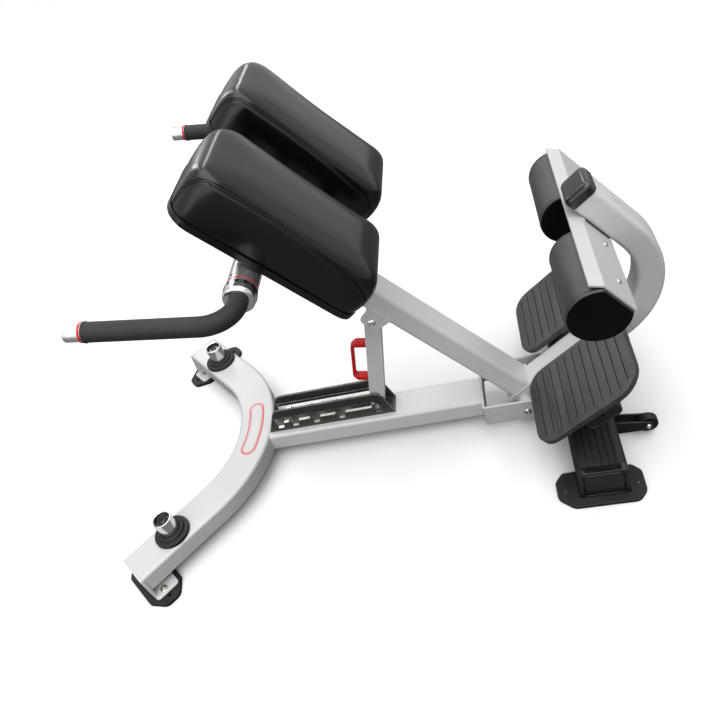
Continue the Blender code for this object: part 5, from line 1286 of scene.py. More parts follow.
@dataclass
class TiltFrame:
    """Post, bent foot tube, foot plates, bracket and their fixings.

    Attributes:
        width: Size of the tubes along Y.
        depth: Size of the tubes across.
        corner: Corner radius.
        bend_radius: Radius of the foot tube's bend.
        bend_b: Height at which the bend starts.
        shin_b: Lower end of the foot tube.
        end_a: Upper end of the foot tube.
        cap_length: Length of the end cap.
        cap_lip: How far it stands out round the tube.
        cap_dome: Height of its dome.
        sleeve_radius: Radius of the pivot sleeve.
        sleeve_half: Half the length of the pivot sleeve.
    """

    width: float = 0.075
    depth: float = 0.058
    corner: float = 0.010
    bend_radius: float = 0.175
    bend_b: float = 0.298
    shin_b: float = -0.034
    end_a: float = 0.319
    cap_length: float = 0.026
    cap_lip: float = 0.0020
    cap_dome: float = 0.0115
    sleeve_radius: float = 0.019
    sleeve_half: float = 0.0734

    def build_arch(self) -> None:
        """The foot tube in one smooth sweep, with its pivot sleeve."""
        start = Matrix(((0, 0, 1, self.shin_b), (0, 1, 0, 0), (-1, 0, 0, 0), (0, 0, 0, 1)))
        tube = Solid.box_face(self.depth, self.width, self.corner, hold=0.0008).place(start)
        tube.push(Vector((self.bend_b - self.shin_b, 0.0, 0.0)))
        tube.bend(Vector((self.bend_b, 0.0, self.bend_radius)), Vector((0, 1, 0)), -math.pi / 2.0, 48)
        tube.rise(self.end_a - self.bend_radius).soften(0.0012, 3, 60.0)
        sleeve = Solid.round_face(self.sleeve_radius, 48).rise(2.0 * self.sleeve_half)
        sleeve.soften(0.0008, 2, 60.0).place(along_y(Vector((0.0, -self.sleeve_half, 0.0))))
        tube.join(sleeve).place(TILT)
        add_piece("foot_arch_skin", tube, SILVER_PAINT, Body.FRAME, ["foot_arch_tube"],
                  weighted=False)
        half = 0.009
        for side in Side:
            bush = disc(0.0062, 0.0157, 2.0 * half, 0.0005, 0.0005, 48).shift(0.0, 0.0, -half)
            seat = TILT @ Vector((0.0, side.value * (self.sleeve_half - half), 0.0))
            stand_in("pivot_bush_" + side.label, bush.place(along_y(seat, side.value)), BUSH, Body.FRAME)

    def build_cap(self) -> None:
        """The glossy cap that closes the foot tube."""
        centre = self.bend_b + self.bend_radius
        cap = Solid.box_face(self.depth + 2.0 * self.cap_lip, self.width + 2.0 * self.cap_lip,
                             self.corner + self.cap_lip, (centre, 0.0), 8)
        cap.rise(self.cap_length - self.cap_dome)
        turns = [math.pi / 2.0 * index / 9.0 for index in range(10)]
        half = 0.034
        shares = [1.0 - self.cap_dome * (1.0 - math.cos(turn)) / half for turn in turns]
        for index in range(1, 10):
            rise = self.cap_dome * (math.sin(turns[index]) - math.sin(turns[index - 1]))
            cap.taper(shares[index] / shares[index - 1], Vector((0.0, 0.0, rise)))
        cap.place(TILT @ Matrix.Translation((0.0, 0.0, self.end_a + GAP)))
        add_piece("arch_cap_skin", cap, GLOSS_PLASTIC, Body.FRAME, ["arch_end_cap"],
                  weighted=False)

    def build_welds(self) -> None:
        """Weld beads round the post's foot and on the bracket."""
        b0, b1 = -0.016, 0.040
        y = self.width / 2.0
        a = self.depth / 2.0 + 0.0008
        ring = [Vector((b0, -y, a)), Vector((b1, -y, a)), Vector((b1, y, a)), Vector((b0, y, a))]
        bead = tube_curve([TILT @ p for p in ring], 0.0022, 0.2, closed=True)
        back = self.bend_b + self.bend_radius - self.depth / 2.0 - 0.0008
        for side in Side:
            for start, end in ((0.2065, 0.2130), (0.2860, 0.2925)):
                run = [TILT @ Vector((back, side.value * (y + 0.0004), start)),
                       TILT @ Vector((back, side.value * (y + 0.0004), end))]
                bead.join(tube_curve(run, 0.0026, 0.2))
        add_piece("frame_weld", bead, SILVER_PAINT, Body.FRAME, weighted=False)

    def build_gap(self) -> None:
        """The dark joint between the bracket and the foot tube."""
        back = self.bend_b + self.bend_radius - self.depth / 2.0 - 0.0002
        joint = Solid()
        for side in Side:
            y = side.value * (self.width / 2.0 - 0.0006)
            run = [TILT @ Vector((back, y, 0.2140)), TILT @ Vector((back, y, 0.2850))]
            joint.join(tube_curve(run, 0.0016))
        add_piece("bracket_joint", joint, PLASTIC, Body.FRAME, weighted=False)

    def build_badge(self) -> None:
        """A bare raised plate on the foot tube's top face."""
        top_b = self.bend_b + self.bend_radius + self.depth / 2.0
        length, width, corner, height, middle = 0.062, 0.016, 0.004, 0.0007, 0.236
        plate = Solid.box_face(length, width, corner).rise(height).soften(0.0003, 2)
        stand = Matrix(((0, 0, 1, top_b - 0.0001), (0, 1, 0, 0), (1, 0, 0, middle), (0, 0, 0, 1)))
        add_piece("arch_badge", plate.place(TILT @ stand), SILVER_PAINT, Body.FRAME)

    def build_groove_shade(self, side: Side) -> None:
        """Painted shade: dark strips on the floors of the foot plate's grooves.

        Args:
            side: Which plate.
        """
        count, pitch, width, corner, height = 11, 0.022536, 0.0028, 0.0012, 0.0004
        plate_half, plate_width, front_round, rear_round = 0.13695, 0.192, 0.060, 0.046
        middle = Vector((0.19055, side.value * 0.1485, 0.0471 + GAP))
        groove_shade = Solid()
        for index in range(count):
            b = (index - count // 2) * pitch
            turn = front_round if b > 0.0 else rear_round
            zone = max(abs(b) + turn - plate_half, 0.0)
            length = plate_width - 2.0 * (turn - math.sqrt(turn * turn - zone * zone))
            bar = Solid.box_face(width, length, corner).rise(height)
            groove_shade.join(bar.shift(middle.x + b, middle.y, middle.z))
        # Dark strips that paint the shade in the grooves.
        add_piece("plate_groove_shade_" + side.label, groove_shade.place(TILT), BLACK_PAINT, Body.FRAME)

    def build_fixings(self) -> None:
        """Pan screws of the rollers and the strut's bolt."""
        back = self.bend_b + self.bend_radius - self.depth / 2.0 - GAP
        for side in Side:
            for name, y in (("inner", 0.0785), ("outer", 0.1990)):
                screw = pan_head(radius=0.0062, height=0.0035, reach=0.006, shank=0.0040)
                seat = Matrix.Translation((back + GAP, side.value * y, 0.2370)) @ about_y(math.pi / 2.0)
                full = "roller_screw_%s_%s" % (side.label, name)
                stand_in(full, screw.place(TILT @ seat), ZINC, Body.FRAME)
        ear = 0.005
        bolt = cross_bolt(EAR, self.width / 2.0 + ear, (0.0100, 0.0045, 0.025, 0.0060))
        stand_in("strut_bolt", bolt, CHROME, Body.FRAME)

    def build(self) -> None:
        """Makes every rigid piece of the tilting frame."""
        self.build_arch()
        self.build_cap()
        self.build_welds()
        self.build_badge()
        self.build_fixings()
        Trim("main_post", SILVER_PAINT, Body.FRAME, Slot.SILVER, 0.0010).dress()
        Trim("foot_cross_bar", BLACK_PAINT, Body.FRAME, Slot.BLACK, 0.0008).dress()
        Trim("roller_bracket", PALE_PAINT, Body.FRAME, Slot.SILVER, 0.0010, 3, 18.0).dress()
        self.build_gap()
        for side in Side:
            Trim("foot_plate_" + side.label, RIBBED, Body.FRAME, Slot.RIBBED, 0.0009, 2).dress()
            self.build_groove_shade(side)
        for end in ("front", "rear"):
            Trim("pad_carrier_" + end, BLACK_PAINT, Body.FRAME, Slot.BLACK, 0.0006, 2).dress()


def pan_head(radius: float, height: float, reach: float, shank: float) -> Solid:
    """A pan screw head with a cross recess.

    Args:
        radius: Head radius.
        height: Head height above its seat at Z = 0.
        reach: Length of shank under the seat.
        shank: Shank radius.

    Returns:
        The screw about Z.
    """
    dome = arc(Vector((0.0, 0.0, 0.0)), Vector((radius, 0.0, 0.0)), Vector((0.0, height, 0.0)),
               math.pi / 2.0, 0.06, 8)
    profile = [(p.x if index else 0.0, p.y) for index, p in enumerate(dome)]
    profile += [(radius, 0.0), (shank, 0.0), (shank, -reach), (0.0, -reach)]
    screw = Solid.lathe(profile, 40)
    for turn in (0.0, math.pi / 2.0):
        slot = Solid.box_face(radius * 1.05, radius * 0.20, radius * 0.06)
        slot.rise(0.0003).shift(0, 0, height - 0.0001)
        screw.join(slot.place(Matrix.Rotation(turn, 4, "Z")))
    return screw


@dataclass
class Strut:
    """Ladder strut, its red lift handle and the pin in the rack.

    Attributes:
        top: Distance of the lift handle's upper end from the strut's bolt.
        bottom: Distance of its lower end.
        standoff: How far its bar stands in front of the strut's middle.
        width: Width of the bar.
        thickness: Thickness of the bar.
        half_depth: Half the strut's depth.
    """

    top: float = 0.0955
    bottom: float = 0.2175
    standoff: float = 0.059
    width: float = 0.022
    thickness: float = 0.009
    half_depth: float = 0.020

    def build_lift(self) -> None:
        """The moulded pull, thick at its two lugs and slim between them."""
        face = -self.half_depth - GAP
        reach = -self.standoff + self.thickness / 2.0
        high = -self.top - self.thickness / 2.0
        low = -self.bottom + self.thickness / 2.0
        turn = 0.0105
        slimmer, flatter, bow, flare = 0.30, 0.18, 0.0022, 1.05
        ramp, lug_start, lug_run = 2.2, 0.004, 0.014
        lean = Matrix(((0, 0, 1, face), (0, 1, 0, 0), (-1, 0, 0, high), (0, 0, 0, 1)))
        pull = Solid.box_face(self.thickness, self.width, 0.0036, (0.0, 0.0), 5).place(lean)
        pull.push(Vector((reach + turn - face, 0.0, 0.0)))
        pull.bend(Vector((reach + turn, 0.0, high - turn)), Vector((0, 1, 0)), -math.pi / 2.0, 14)
        pull.rise(low - high + 2.0 * turn)
        pull.bend(Vector((reach + turn, 0.0, low + turn)), Vector((0, 1, 0)), -math.pi / 2.0, 14)
        pull.push(Vector((face - reach - turn, 0.0, 0.0))).soften(0.0008, 2, 60.0)
        middle = (high + low) / 2.0
        span = (high - low) / 2.0
        for vert in pull.bm.verts:
            share = max(0.0, 1.0 - abs(vert.co.z - middle) / span)
            slim = min(1.0, share * ramp)
            vert.co.y *= 1.0 - slimmer * slim
            vert.co.x = reach + (vert.co.x - reach) * (1.0 - flatter * slim) - bow * slim
            lug = min(1.0, max(0.0, (vert.co.x - reach + lug_start) / lug_run))
            line = high if vert.co.z > middle else low
            vert.co.z = line + (vert.co.z - line) * (1.0 + flare * lug * (1.0 - slim))
        pull.place(STRUT)
        stand_in("lift_handle", pull, RED_PAINT, Body.STRUT)

    def build(self) -> None:
        """Makes the strut's pieces and the rack pin."""
        Trim("strut_tube", SILVER_PAINT, Body.STRUT, Slot.SILVER, 0.0016, 4).dress()
        self.build_lift()
        half = 0.036
        big, neck, reach, washer_y = 0.0075, 0.0050, 0.0237, 0.0297
        profile = mirrored([(0.0, half - 0.0020), (0.0030, half - 0.0020), (0.0034, half - 0.0004),
                            (0.0042, half), (big - 0.0014, half), (big - 0.0004, half - 0.0004),
                            (big, half - 0.0014), (big, reach), (neck, reach)])
        pin = Solid.lathe(profile, 40).place(along_y(PIN_REST))
        stand_in("rack_pin", pin, ZINC, Body.PIN)
        washers = Solid()
        for way in (-1, 1):
            ring = disc(big - 0.0002, 0.0100, 0.0022, 0.0008, 0.0008, 48)
            washers.join(ring.place(along_y(PIN_REST + Vector((0.0, way * washer_y, 0.0)), way)))
        add_piece("rack_pin_washers", washers, BLACK_PAINT, Body.PIN)


@dataclass
class Handles:
    """Cross hub and the two turning handles with their grips.

    Attributes:
        hub_radius: Radius of the hub tube.
        hub_half: Half its length.
        collar_radius: Radius of the toothed collars.
        collar_length: Their length.
        handle_y: Distance of the grips from the middle plane.
        bend: Radius of the bars' bend.
        bar_radius: Radius of the bars.
        grip_radius: Radius of the grips.
        grip_end: Where the grips end, from the hub's axis.
        cap_radius: Radius of the grips' end caps.
        cap_end: Where the end caps end, from the hub's axis.
        ring_radius: Radius of the red rings.
        teeth: Number of teeth round a collar.
    """

    hub_radius: float = 0.029
    hub_half: float = 0.2900
    collar_radius: float = 0.0310
    collar_length: float = 0.026
    handle_y: float = 0.380
    bend: float = 0.058
    bar_radius: float = 0.0150
    grip_radius: float = 0.0184
    grip_end: float = 0.2610
    cap_radius: float = 0.0168
    cap_end: float = 0.2960
    ring_radius: float = 0.0188
    teeth: int = 12

    def build_hub(self) -> None:
        """The hub tube with its red index rings."""
        half, r = self.hub_half, self.hub_radius
        hub = Solid.lathe(mirrored([(r - 0.0035, half), (r - 0.0012, half), (r - 0.0003, half - 0.0004),
                                    (r, half - 0.0014)]), 72)
        stand_in("handle_hub", hub.place(along_y(HUB.translation)), SATIN_STEEL, Body.FRAME)
        for side in Side:
            edge = [(r - 0.0005, 0.0011), (r + 0.0004, 0.0011), (r + 0.0006, 0.0007)]
            ring = Solid.lathe(mirrored(edge), 72)
            seat = HUB.translation + Vector((0.0, side.value * (half - 0.0085), 0.0))
            add_piece("index_ring_" + side.label, ring.place(along_y(seat)), RED_PAINT, Body.FRAME)
            dimple = disc(0.0, 0.0034, 0.0016, 0.0008, 0.0006, 32).shift(0.0, 0.0, -0.0010)
            out = Vector((-0.35, 0.0, 0.94)).normalized()
            seat = HUB.translation + out * r + Vector((0.0, side.value * (half - 0.020), 0.0))
            turn = out.to_track_quat("Z", "Y").to_matrix().to_4x4()
            add_piece("index_button_" + side.label, dimple.place(Matrix.Translation(seat) @ turn), PLASTIC,
                      Body.FRAME)

    def path(self, side: Side, section: Solid, start: float, end: float) -> Solid:
        """Sweeps a section out of the hub, round the bend and along the grip.

        Args:
            side: Which handle.
            section: The face to sweep, in XY.
            start: Where it starts from the bench's middle plane.
            end: Where it ends along the grip.

        Returns:
            The swept solid in the handle's frame.
        """
        straight = self.handle_y - self.bend
        way = side.value
        section.place(along_y(Vector((0.0, way * start, 0.0)), way))
        section.push(Vector((0.0, way * (straight - start), 0.0)))
        section.bend(Vector((0.0, way * straight, self.bend)), Vector((1, 0, 0)), way * math.pi / 2.0, 24)
        section.rise(end - self.bend)
        return section

    def collar(self) -> Solid:
        """The turned collar about Z, its seat at Z = 0.

        Returns:
            The solid.
        """
        r, length = self.collar_radius, self.collar_length
        profile = [(0.0, length), (r - 0.0110, length), (r - 0.0100, length - 0.0004),
                   (r - 0.0060, length - 0.0004), (r - 0.0030, length - 0.0022),
                   (r - 0.0012, length - 0.0050), (r - 0.0008, length - 0.0080), (r - 0.0006, 0.0120),
                   (r, 0.0105), (r, 0.0008), (r - 0.0006, 0.0), (0.0, 0.0)]
        return Solid.lathe(profile, 72)

    def pocket_shade(self) -> Solid:
        """Dark blocks that paint the shade in the gaps between the collar's teeth, about Z.

        Returns:
            The solid.
        """
        r = self.collar_radius
        solid = Solid()
        for index in range(self.teeth):
            pocket = Solid.box_face(0.0026, 0.0066, 0.0009, (r - 0.0009, 0.0))
            pocket.rise(0.0092).soften(0.0003, 2)
            pocket.shift(0.0, 0.0, 0.0008)
            solid.join(pocket.place(Matrix.Rotation(TURN * index / self.teeth, 4, "Z")))
        return solid

    def build_handle(self, side: Side) -> None:
        """One handle: collar and bar, rubber grip, ring and end cap.

        Args:
            side: Which handle.
        """
        body = Body.HANDLE_NEAR if side is Side.NEAR else Body.HANDLE_FAR
        start = self.hub_half + GAP
        seat = Vector((0.0, side.value * start, 0.0))
        bar = self.collar().place(along_y(seat, side.value))
        # Painted shade in the gaps between the teeth.
        pocket_shade = self.pocket_shade().place(along_y(seat, side.value)).place(HUB)
        add_piece("collar_pocket_shade_" + side.label, pocket_shade, PLASTIC, body)
        end = start + self.collar_length
        bar.join(self.path(side, Solid.round_face(self.bar_radius, 40), end - 0.004, 0.2840))
        stand_in("handle_bar_" + side.label, bar.place(HUB), CHROME, body)
        grip = self.path(side, Solid.round_face(self.grip_radius, 44), end + GAP, self.grip_end)
        grip.soften(0.0012, 3, 60.0).place(HUB)
        stand_in("grip_" + side.label, grip, GRIP, body)
        foot = self.grip_end + GAP
        r, ring = self.cap_radius, self.ring_radius
        place = HUB @ Matrix.Translation((0.0, side.value * self.handle_y, 0.0))
        lip = [(-0.0022, 0.0004), (-0.0002, 0.0004), (0.0006, 0.0012), (0.0008, 0.0030), (0.0004, 0.0044),
               (-0.0006, 0.0060), (-0.0022, 0.0060)]
        flare = Solid.lathe([(ring + out, self.grip_end - back) for out, back in lip], 64)
        add_piece("grip_flare_" + side.label, flare.place(place), GRIP, body)
        dish = [(0.0, 0.0012), (0.0110, 0.0012), (0.0118, 0.0004), (0.0126, 0.0), (r - 0.0018, 0.0),
                (r - 0.0005, 0.0005), (r, 0.0018)]
        cap = Solid.lathe([(x, self.cap_end - back) for x, back in dish]
                          + [(r, foot + 0.0056), (0.0, foot + 0.0056)], 64)
        stand_in("grip_cap_" + side.label, cap.place(place), CAP_STEEL, body)
        for name, low, high, width, finish, slot in (
                ("grip_line_", 0.0, 0.0012, ring - 0.0002, CHROME, Slot.POLISHED),
                ("grip_ring_", 0.0012, 0.0056, ring, RED_PAINT, Slot.RED)):
            band = Solid.lathe([(0.0, foot + high), (width - 0.0006, foot + high),
                                (width, foot + high - 0.0005), (width, foot + low + 0.0004),
                                (width - 0.0004, foot + low), (0.0, foot + low)], 64)
            add_piece(name + side.label, band.place(place), finish, body)

    def build(self) -> None:
        """Makes the hub and both handles."""
        self.build_hub()
        for side in Side:
            self.build_handle(side)


# Soft goods


def puffed(solid: Solid, name: str, voxel: float, pressure: float, cap: float) -> bpy.types.Mesh:
    """Fills a slack form with a cloth simulation.

    Args:
        solid: The closed starting form; it is used up.
        name: Name for the mesh.
        voxel: Grain of the even remesh.
        pressure: Pressure of the filling.
        cap: The furthest that a point may move.

    Returns:
        The filled mesh with one subdivision.
    """
    mesh = solid.mesh(bpy.data.meshes.new(name))
    holder = put_up(name + "_fill", mesh)
    remesh = holder.modifiers.new("even", "REMESH")
    remesh.mode = "VOXEL"
    remesh.voxel_size = voxel
    bpy.context.view_layer.update()
    even = applied(holder)
    holder.modifiers.remove(remesh)
    holder.data = even
    bm = bmesh.new()
    bm.from_mesh(even)
    for _ in range(3):
        bmesh.ops.smooth_vert(bm, verts=bm.verts, factor=0.5, use_axis_x=True, use_axis_y=True,
                              use_axis_z=True)
    bm.to_mesh(even)
    bm.free()
    rest = [v.co.copy() for v in even.vertices]
    cloth = holder.modifiers.new("fill", "CLOTH")
    cover = {"use_pressure": True, "uniform_pressure_force": pressure, "quality": 5, "mass": 0.3,
             "tension_stiffness": 15.0, "compression_stiffness": 15.0, "shear_stiffness": 5.0,
             "bending_stiffness": 0.5}
    for key, value in cover.items():
        setattr(cloth.settings, key, value)
    cloth.settings.effector_weights.gravity = 0.0
    scene = bpy.context.scene
    for frame in range(1, 21):
        scene.frame_set(frame)
    graph = bpy.context.evaluated_depsgraph_get()
    moved = [v.co.copy() for v in holder.evaluated_get(graph).data.vertices]
    holder.modifiers.remove(cloth)
    scene.frame_set(1)
    swell = [min(cap, max(0.0, (new - old).dot(vert.normal)))
             for vert, old, new in zip(even.vertices, rest, moved)]
    swell = evened(even, swell, 60)
    normals = [vert.normal.copy() for vert in even.vertices]
    for vert, old, normal, lift in zip(even.vertices, rest, normals, swell):
        vert.co = old + normal * lift
    finer = holder.modifiers.new("finer", "SUBSURF")
    finer.levels = 1
    finer.render_levels = 1
    done = applied(holder)
    bpy.data.objects.remove(holder, do_unlink=True)
    bpy.data.meshes.remove(even)
    bpy.data.meshes.remove(mesh)
    return done


def evened(mesh: bpy.types.Mesh, values: Sequence[float], rounds: int) -> list[float]:
    """Spreads one value per vertex over its neighbours, as foam under the cover does.

    Args:
        mesh: The mesh that the values belong to.
        values: The values.
        rounds: How often they are averaged.

    Returns:
        The evened values.
    """
    near: list[list[int]] = [[] for _ in mesh.vertices]
    for edge in mesh.edges:
        first, second = edge.vertices
        near[first].append(second)
        near[second].append(first)
    current = list(values)
    for _ in range(rounds):
        current = [(value + sum(current[i] for i in links)) / (1.0 + len(links))
                   for value, links in zip(current, near)]
    return current


def surface_tree(mesh: bpy.types.Mesh) -> BVHTree:
    """The mesh's surface, for finding nearest points."""
    return BVHTree.FromPolygons([v.co for v in mesh.vertices], [tuple(p.vertices) for p in mesh.polygons])


def snapped(tree: BVHTree, points: Iterable[Vector], reach: float = 0.02) -> list[Vector]:
    """The points of a surface that are nearest to the given ones, for those within reach."""
    found = (tree.find_nearest(point, reach) for point in points)
    return [hit[0] for hit in found if hit[0] is not None]


def carve(mesh: bpy.types.Mesh, line: Sequence[Vector], width: float, depth: float) -> None:
    """Sinks a seam into a dense mesh.

    Args:
        mesh: The mesh to change.
        line: Closely spaced points of the seam, on the surface.
        width: Half width of the groove.
        depth: Its depth at the middle.
    """
    tree = KDTree(len(line))
    for index, point in enumerate(line):
        tree.insert(point, index)
    tree.balance()
    normals = [v.normal.copy() for v in mesh.vertices]
    for vert, normal in zip(mesh.vertices, normals):
        distance = tree.find(vert.co)[2]
        if distance < 3.0 * width:
            vert.co = vert.co - normal * depth * math.exp(-((distance / width) ** 2))


def spaced(line: Sequence[Vector], pitch: float) -> list[Vector]:
    """Points along a line at an even pitch.

    Args:
        line: The line.
        pitch: Distance between points.

    Returns:
        The points.
    """
    points = [line[0].copy()]
    left = pitch
    for start, end in zip(line, line[1:]):
        length = (end - start).length
        done = 0.0
        while length - done >= left:
            done += left
            points.append(start.lerp(end, done / length))
            left = pitch
        left -= length - done
    return points


def stitches(line: Sequence[Vector], tree: BVHTree, pitch: float, length: float, radius: float) -> Solid:
    """Thread stitches along a seam.

    Args:
        line: The seam.
        tree: The surface that they lie on.
        pitch: Distance between stitches.
        length: Length of one stitch.
        radius: Radius of each stitch.

    Returns:
        All stitches as one solid.
    """
    solid = Solid()
    points = spaced(line, pitch)
    for start, end in zip(points, points[1:]):
        place, normal, _, _ = tree.find_nearest((start + end) / 2.0)
        way = (end - start).normalized()
        across = way.cross(normal).normalized()
        up = across.cross(way)
        turn = Matrix((across, up, way)).transposed().to_4x4()
        scale = Matrix.Diagonal((radius, radius, length / 2.0, 1.0))
        matrix = Matrix.Translation(place + normal * radius * 0.4) @ turn @ scale
        bmesh.ops.create_uvsphere(solid.bm, u_segments=6, v_segments=4, radius=1.0, matrix=matrix)
    return solid


@dataclass
class HipPads:
    """The two hip cushions and their wrapped boards.

    Attributes:
        rear_a: Lower end of the pads.
        front_a: Upper end of the pads.
        inner_y: Inner side.
        outer_y: Outer side.
        low_b: Underside of the cushion.
        thickness: Height of the cushion.
        slack: How far the starting form is drawn in.
        tuck: How far the starting form reaches down into the board.
        voxel: Grain of the even remesh.
        pressure: Pressure of the filling.
        swell: The furthest that the filling moves a point.
        rim: How far the board stands out round the cushion.
        band: Distance between the two lines of the seam.
        proud: How far the skin stands over the CAD pad.
        seam: Points of the first seam line on the far pad, in the tilted frame.
    """

    rear_a: float = 0.590
    front_a: float = 0.998
    inner_y: float = 0.0560
    outer_y: float = 0.2520
    low_b: float = 0.0999
    thickness: float = 0.0930
    slack: float = 0.0006
    tuck: float = 0.0050
    voxel: float = 0.0045
    pressure: float = 4.0
    swell: float = 0.004
    rim: float = 0.0012
    band: float = 0.0052
    proud: float = 0.0006
    seam: tuple[Triple, ...] = (
        (0.1010, 0.2275, 0.9950), (0.1218, 0.2275, 0.9922), (0.1382, 0.2285, 0.9904),
        (0.1599, 0.2323, 0.9848), (0.1731, 0.2376, 0.9754), (0.1833, 0.2409, 0.9650),
        (0.1883, 0.2437, 0.9523), (0.1898, 0.2450, 0.9398), (0.1915, 0.2440, 0.8962),
        (0.1922, 0.2435, 0.8597), (0.1915, 0.2440, 0.8185), (0.1890, 0.2455, 0.7747),
        (0.1857, 0.2477, 0.7296), (0.1800, 0.2492, 0.6826), (0.1730, 0.2490, 0.6450),
        (0.1640, 0.2460, 0.6220), (0.1500, 0.2400, 0.6080), (0.1300, 0.2330, 0.5990),
        (0.1030, 0.2310, 0.5930))

    def form(self) -> Solid:
        """The slack far cushion in the tilted frame.

        Returns:
            A slightly smaller copy of its solid.
        """
        pad = Solid.cad("hip_pad_far").place(TILT.inverted())
        across, along = self.outer_y - self.inner_y, self.front_a - self.rear_a
        tall = 1.0 + (self.tuck - self.slack) / self.thickness
        shrink = Matrix.Diagonal((tall, 1.0 - 2.0 * self.slack / across, 1.0 - 2.0 * self.slack / along, 1.0))
        top = Matrix.Translation((self.low_b + self.thickness, (self.inner_y + self.outer_y) / 2.0,
                                  (self.rear_a + self.front_a) / 2.0))
        drop = Matrix.Translation((-self.slack, 0.0, 0.0))
        return pad.place(drop @ top @ shrink @ top.inverted())

    def regrow(self, mesh: bpy.types.Mesh) -> None:
        """Gives back the volume that evening the mesh took off its edges.

        Args:
            mesh: The filled cushion in the tilted frame.
        """
        solid = Solid.cad("hip_pad_far").place(TILT.inverted())
        tree = BVHTree.FromBMesh(solid.bm)
        solid.bm.free()
        short = []
        for vert in mesh.vertices:
            place, normal, _, distance = tree.find_nearest(vert.co)
            inside = (place - vert.co).dot(vert.normal) > 0.0 and vert.co.x > self.low_b
            short.append(min(distance, 0.006) if inside else 0.0)
        normals = [vert.normal.copy() for vert in mesh.vertices]
        for vert, normal, lift in zip(mesh.vertices, normals, evened(mesh, short, 12)):
            vert.co = vert.co + normal * (lift + self.proud)
        mesh.update()

    def seam_line(self, inner: bool, shift: float) -> list[Vector]:
        """One line of the stitched seam between top panel and gusset.

        Args:
            inner: Whether it runs along the pad's inner side.
            shift: How far the line lies down the side from the first one.

        Returns:
            Points near the surface, from the front end to the rear.
        """
        middle = (self.inner_y + self.outer_y) / 2.0
        core = Vector((self.low_b + 0.030, middle, 0.800))
        fine = []
        for start, end in zip(self.seam, self.seam[1:]):
            first, last = Vector(start), Vector(end)
            count = max(1, round((last - first).length / 0.002))
            for spot in (first.lerp(last, index / count) for index in range(count)):
                down = Vector((-1.0, 0.0, 0.0))
                if spot.z > 0.955 or spot.z < 0.640:
                    way = core - spot
                    down = Vector((way.x * 0.3, 0.0, way.z)).normalized() * 0.4 + Vector((0.0, 0.9, 0.0))
                spot = spot + down.normalized() * shift
                fine.append(Vector((spot.x, 2.0 * middle - spot.y if inner else spot.y, spot.z)))
        return fine

    def settle(self, verts: Iterable[bpy.types.MeshVertex | bmesh.types.BMVert]) -> None:
        """Gives the front end the fuller top and drawn-in foot of a wrapped pad.

        Args:
            verts: Points in the tilted frame, on either side.
        """
        start, drop, fuller, spread, ease = 0.760, 0.0125, 0.0055, 0.0055, 0.0015
        for vert in verts:
            share = min(1.0, max(0.0, (vert.co.z - start) / (self.front_a - start)))
            share = share * share * (3.0 - 2.0 * share)
            high = min(1.0, max(0.0, (vert.co.x - self.low_b) / self.thickness))
            way = 1.0 if vert.co.y > 0.0 else -1.0
            across = (abs(vert.co.y) - self.inner_y) / (self.outer_y - self.inner_y)
            vert.co.z -= share * (drop - fuller * high)
            vert.co.x += share * fuller * high
            vert.co.y += way * (ease + spread * share * across)

    def build(self) -> None:
        """Simulates one cushion, sews it, and makes both pads from it."""
        mesh = puffed(self.form(), "cushion", self.voxel, self.pressure, self.swell)
        self.regrow(mesh)
        for vert in mesh.vertices:
            vert.co.x = max(vert.co.x, self.low_b)
        mesh.update()
        seams: list[list[Vector]] = []
        tree = surface_tree(mesh)
        for inner in (False, True):
            for shift in (0.0, self.band):
                seams.append(snapped(tree, self.seam_line(inner, shift), 0.03))
        for line in seams:
            carve(mesh, line, width=0.0030, depth=0.0007)
            mesh.update()
        tree = surface_tree(mesh)
        thread_and_seam_shade = Solid()
        for line in seams:
            surface = [tree.find_nearest(point)[0] for point in line]
            # The unbroken dark line along each seam groove is painted shade; the stitches on it are thread.
            thread_and_seam_shade.join(tube_curve(surface, 0.0007))
            thread_and_seam_shade.join(stitches(surface, tree, pitch=0.0052, length=0.0038, radius=0.0008))
        spare = thread_and_seam_shade.mesh(bpy.data.meshes.new("stitch_source"))
        self.settle(spare.vertices)
        self.settle(mesh.vertices)
        for side in Side:
            mirror = Matrix.Diagonal((1.0, float(side.value), 1.0, 1.0))
            skin = Solid()
            skin.bm.from_mesh(mesh)
            pad = stand_in("hip_pad_" + side.label, skin.place(TILT @ mirror), VINYL, Body.FRAME,
                           weighted=False)
            sewn = Solid()
            sewn.bm.from_mesh(spare)
            add_piece("hip_pad_stitches_" + side.label, sewn.place(TILT @ mirror), THREAD, Body.FRAME,
                      weighted=False)
            self.build_board(side)
        bpy.data.meshes.remove(mesh)
        bpy.data.meshes.remove(spare)

    def build_board(self, side: Side) -> None:
        """The wrapped edge strip and the board under one cushion.

        Args:
            side: Which pad.
        """
        name = "pad_board_" + side.label
        board = Solid.cad(name).place(TILT.inverted())
        low = Vector([min(v.co[i] for v in board.bm.verts) for i in range(3)])
        high = Vector([max(v.co[i] for v in board.bm.verts) for i in range(3)])
        inner, outer = sorted((side.value * self.inner_y, side.value * self.outer_y))
        want_low = Vector((low.x, inner - self.rim, self.rear_a + 0.0015))
        want_high = Vector((high.x + 0.0006, outer + self.rim, self.front_a + 0.0005))
        scale = Matrix.Diagonal([(want_high[i] - want_low[i]) / (high[i] - low[i]) for i in range(3)] + [1.0])
        board.place(Matrix.Translation(want_low) @ scale @ Matrix.Translation(-low))
        board.soften(0.0030, 4, 50.0)
        self.settle(board.bm.verts)
        board.place(TILT)
        stand_in(name, board, VINYL, Body.FRAME)


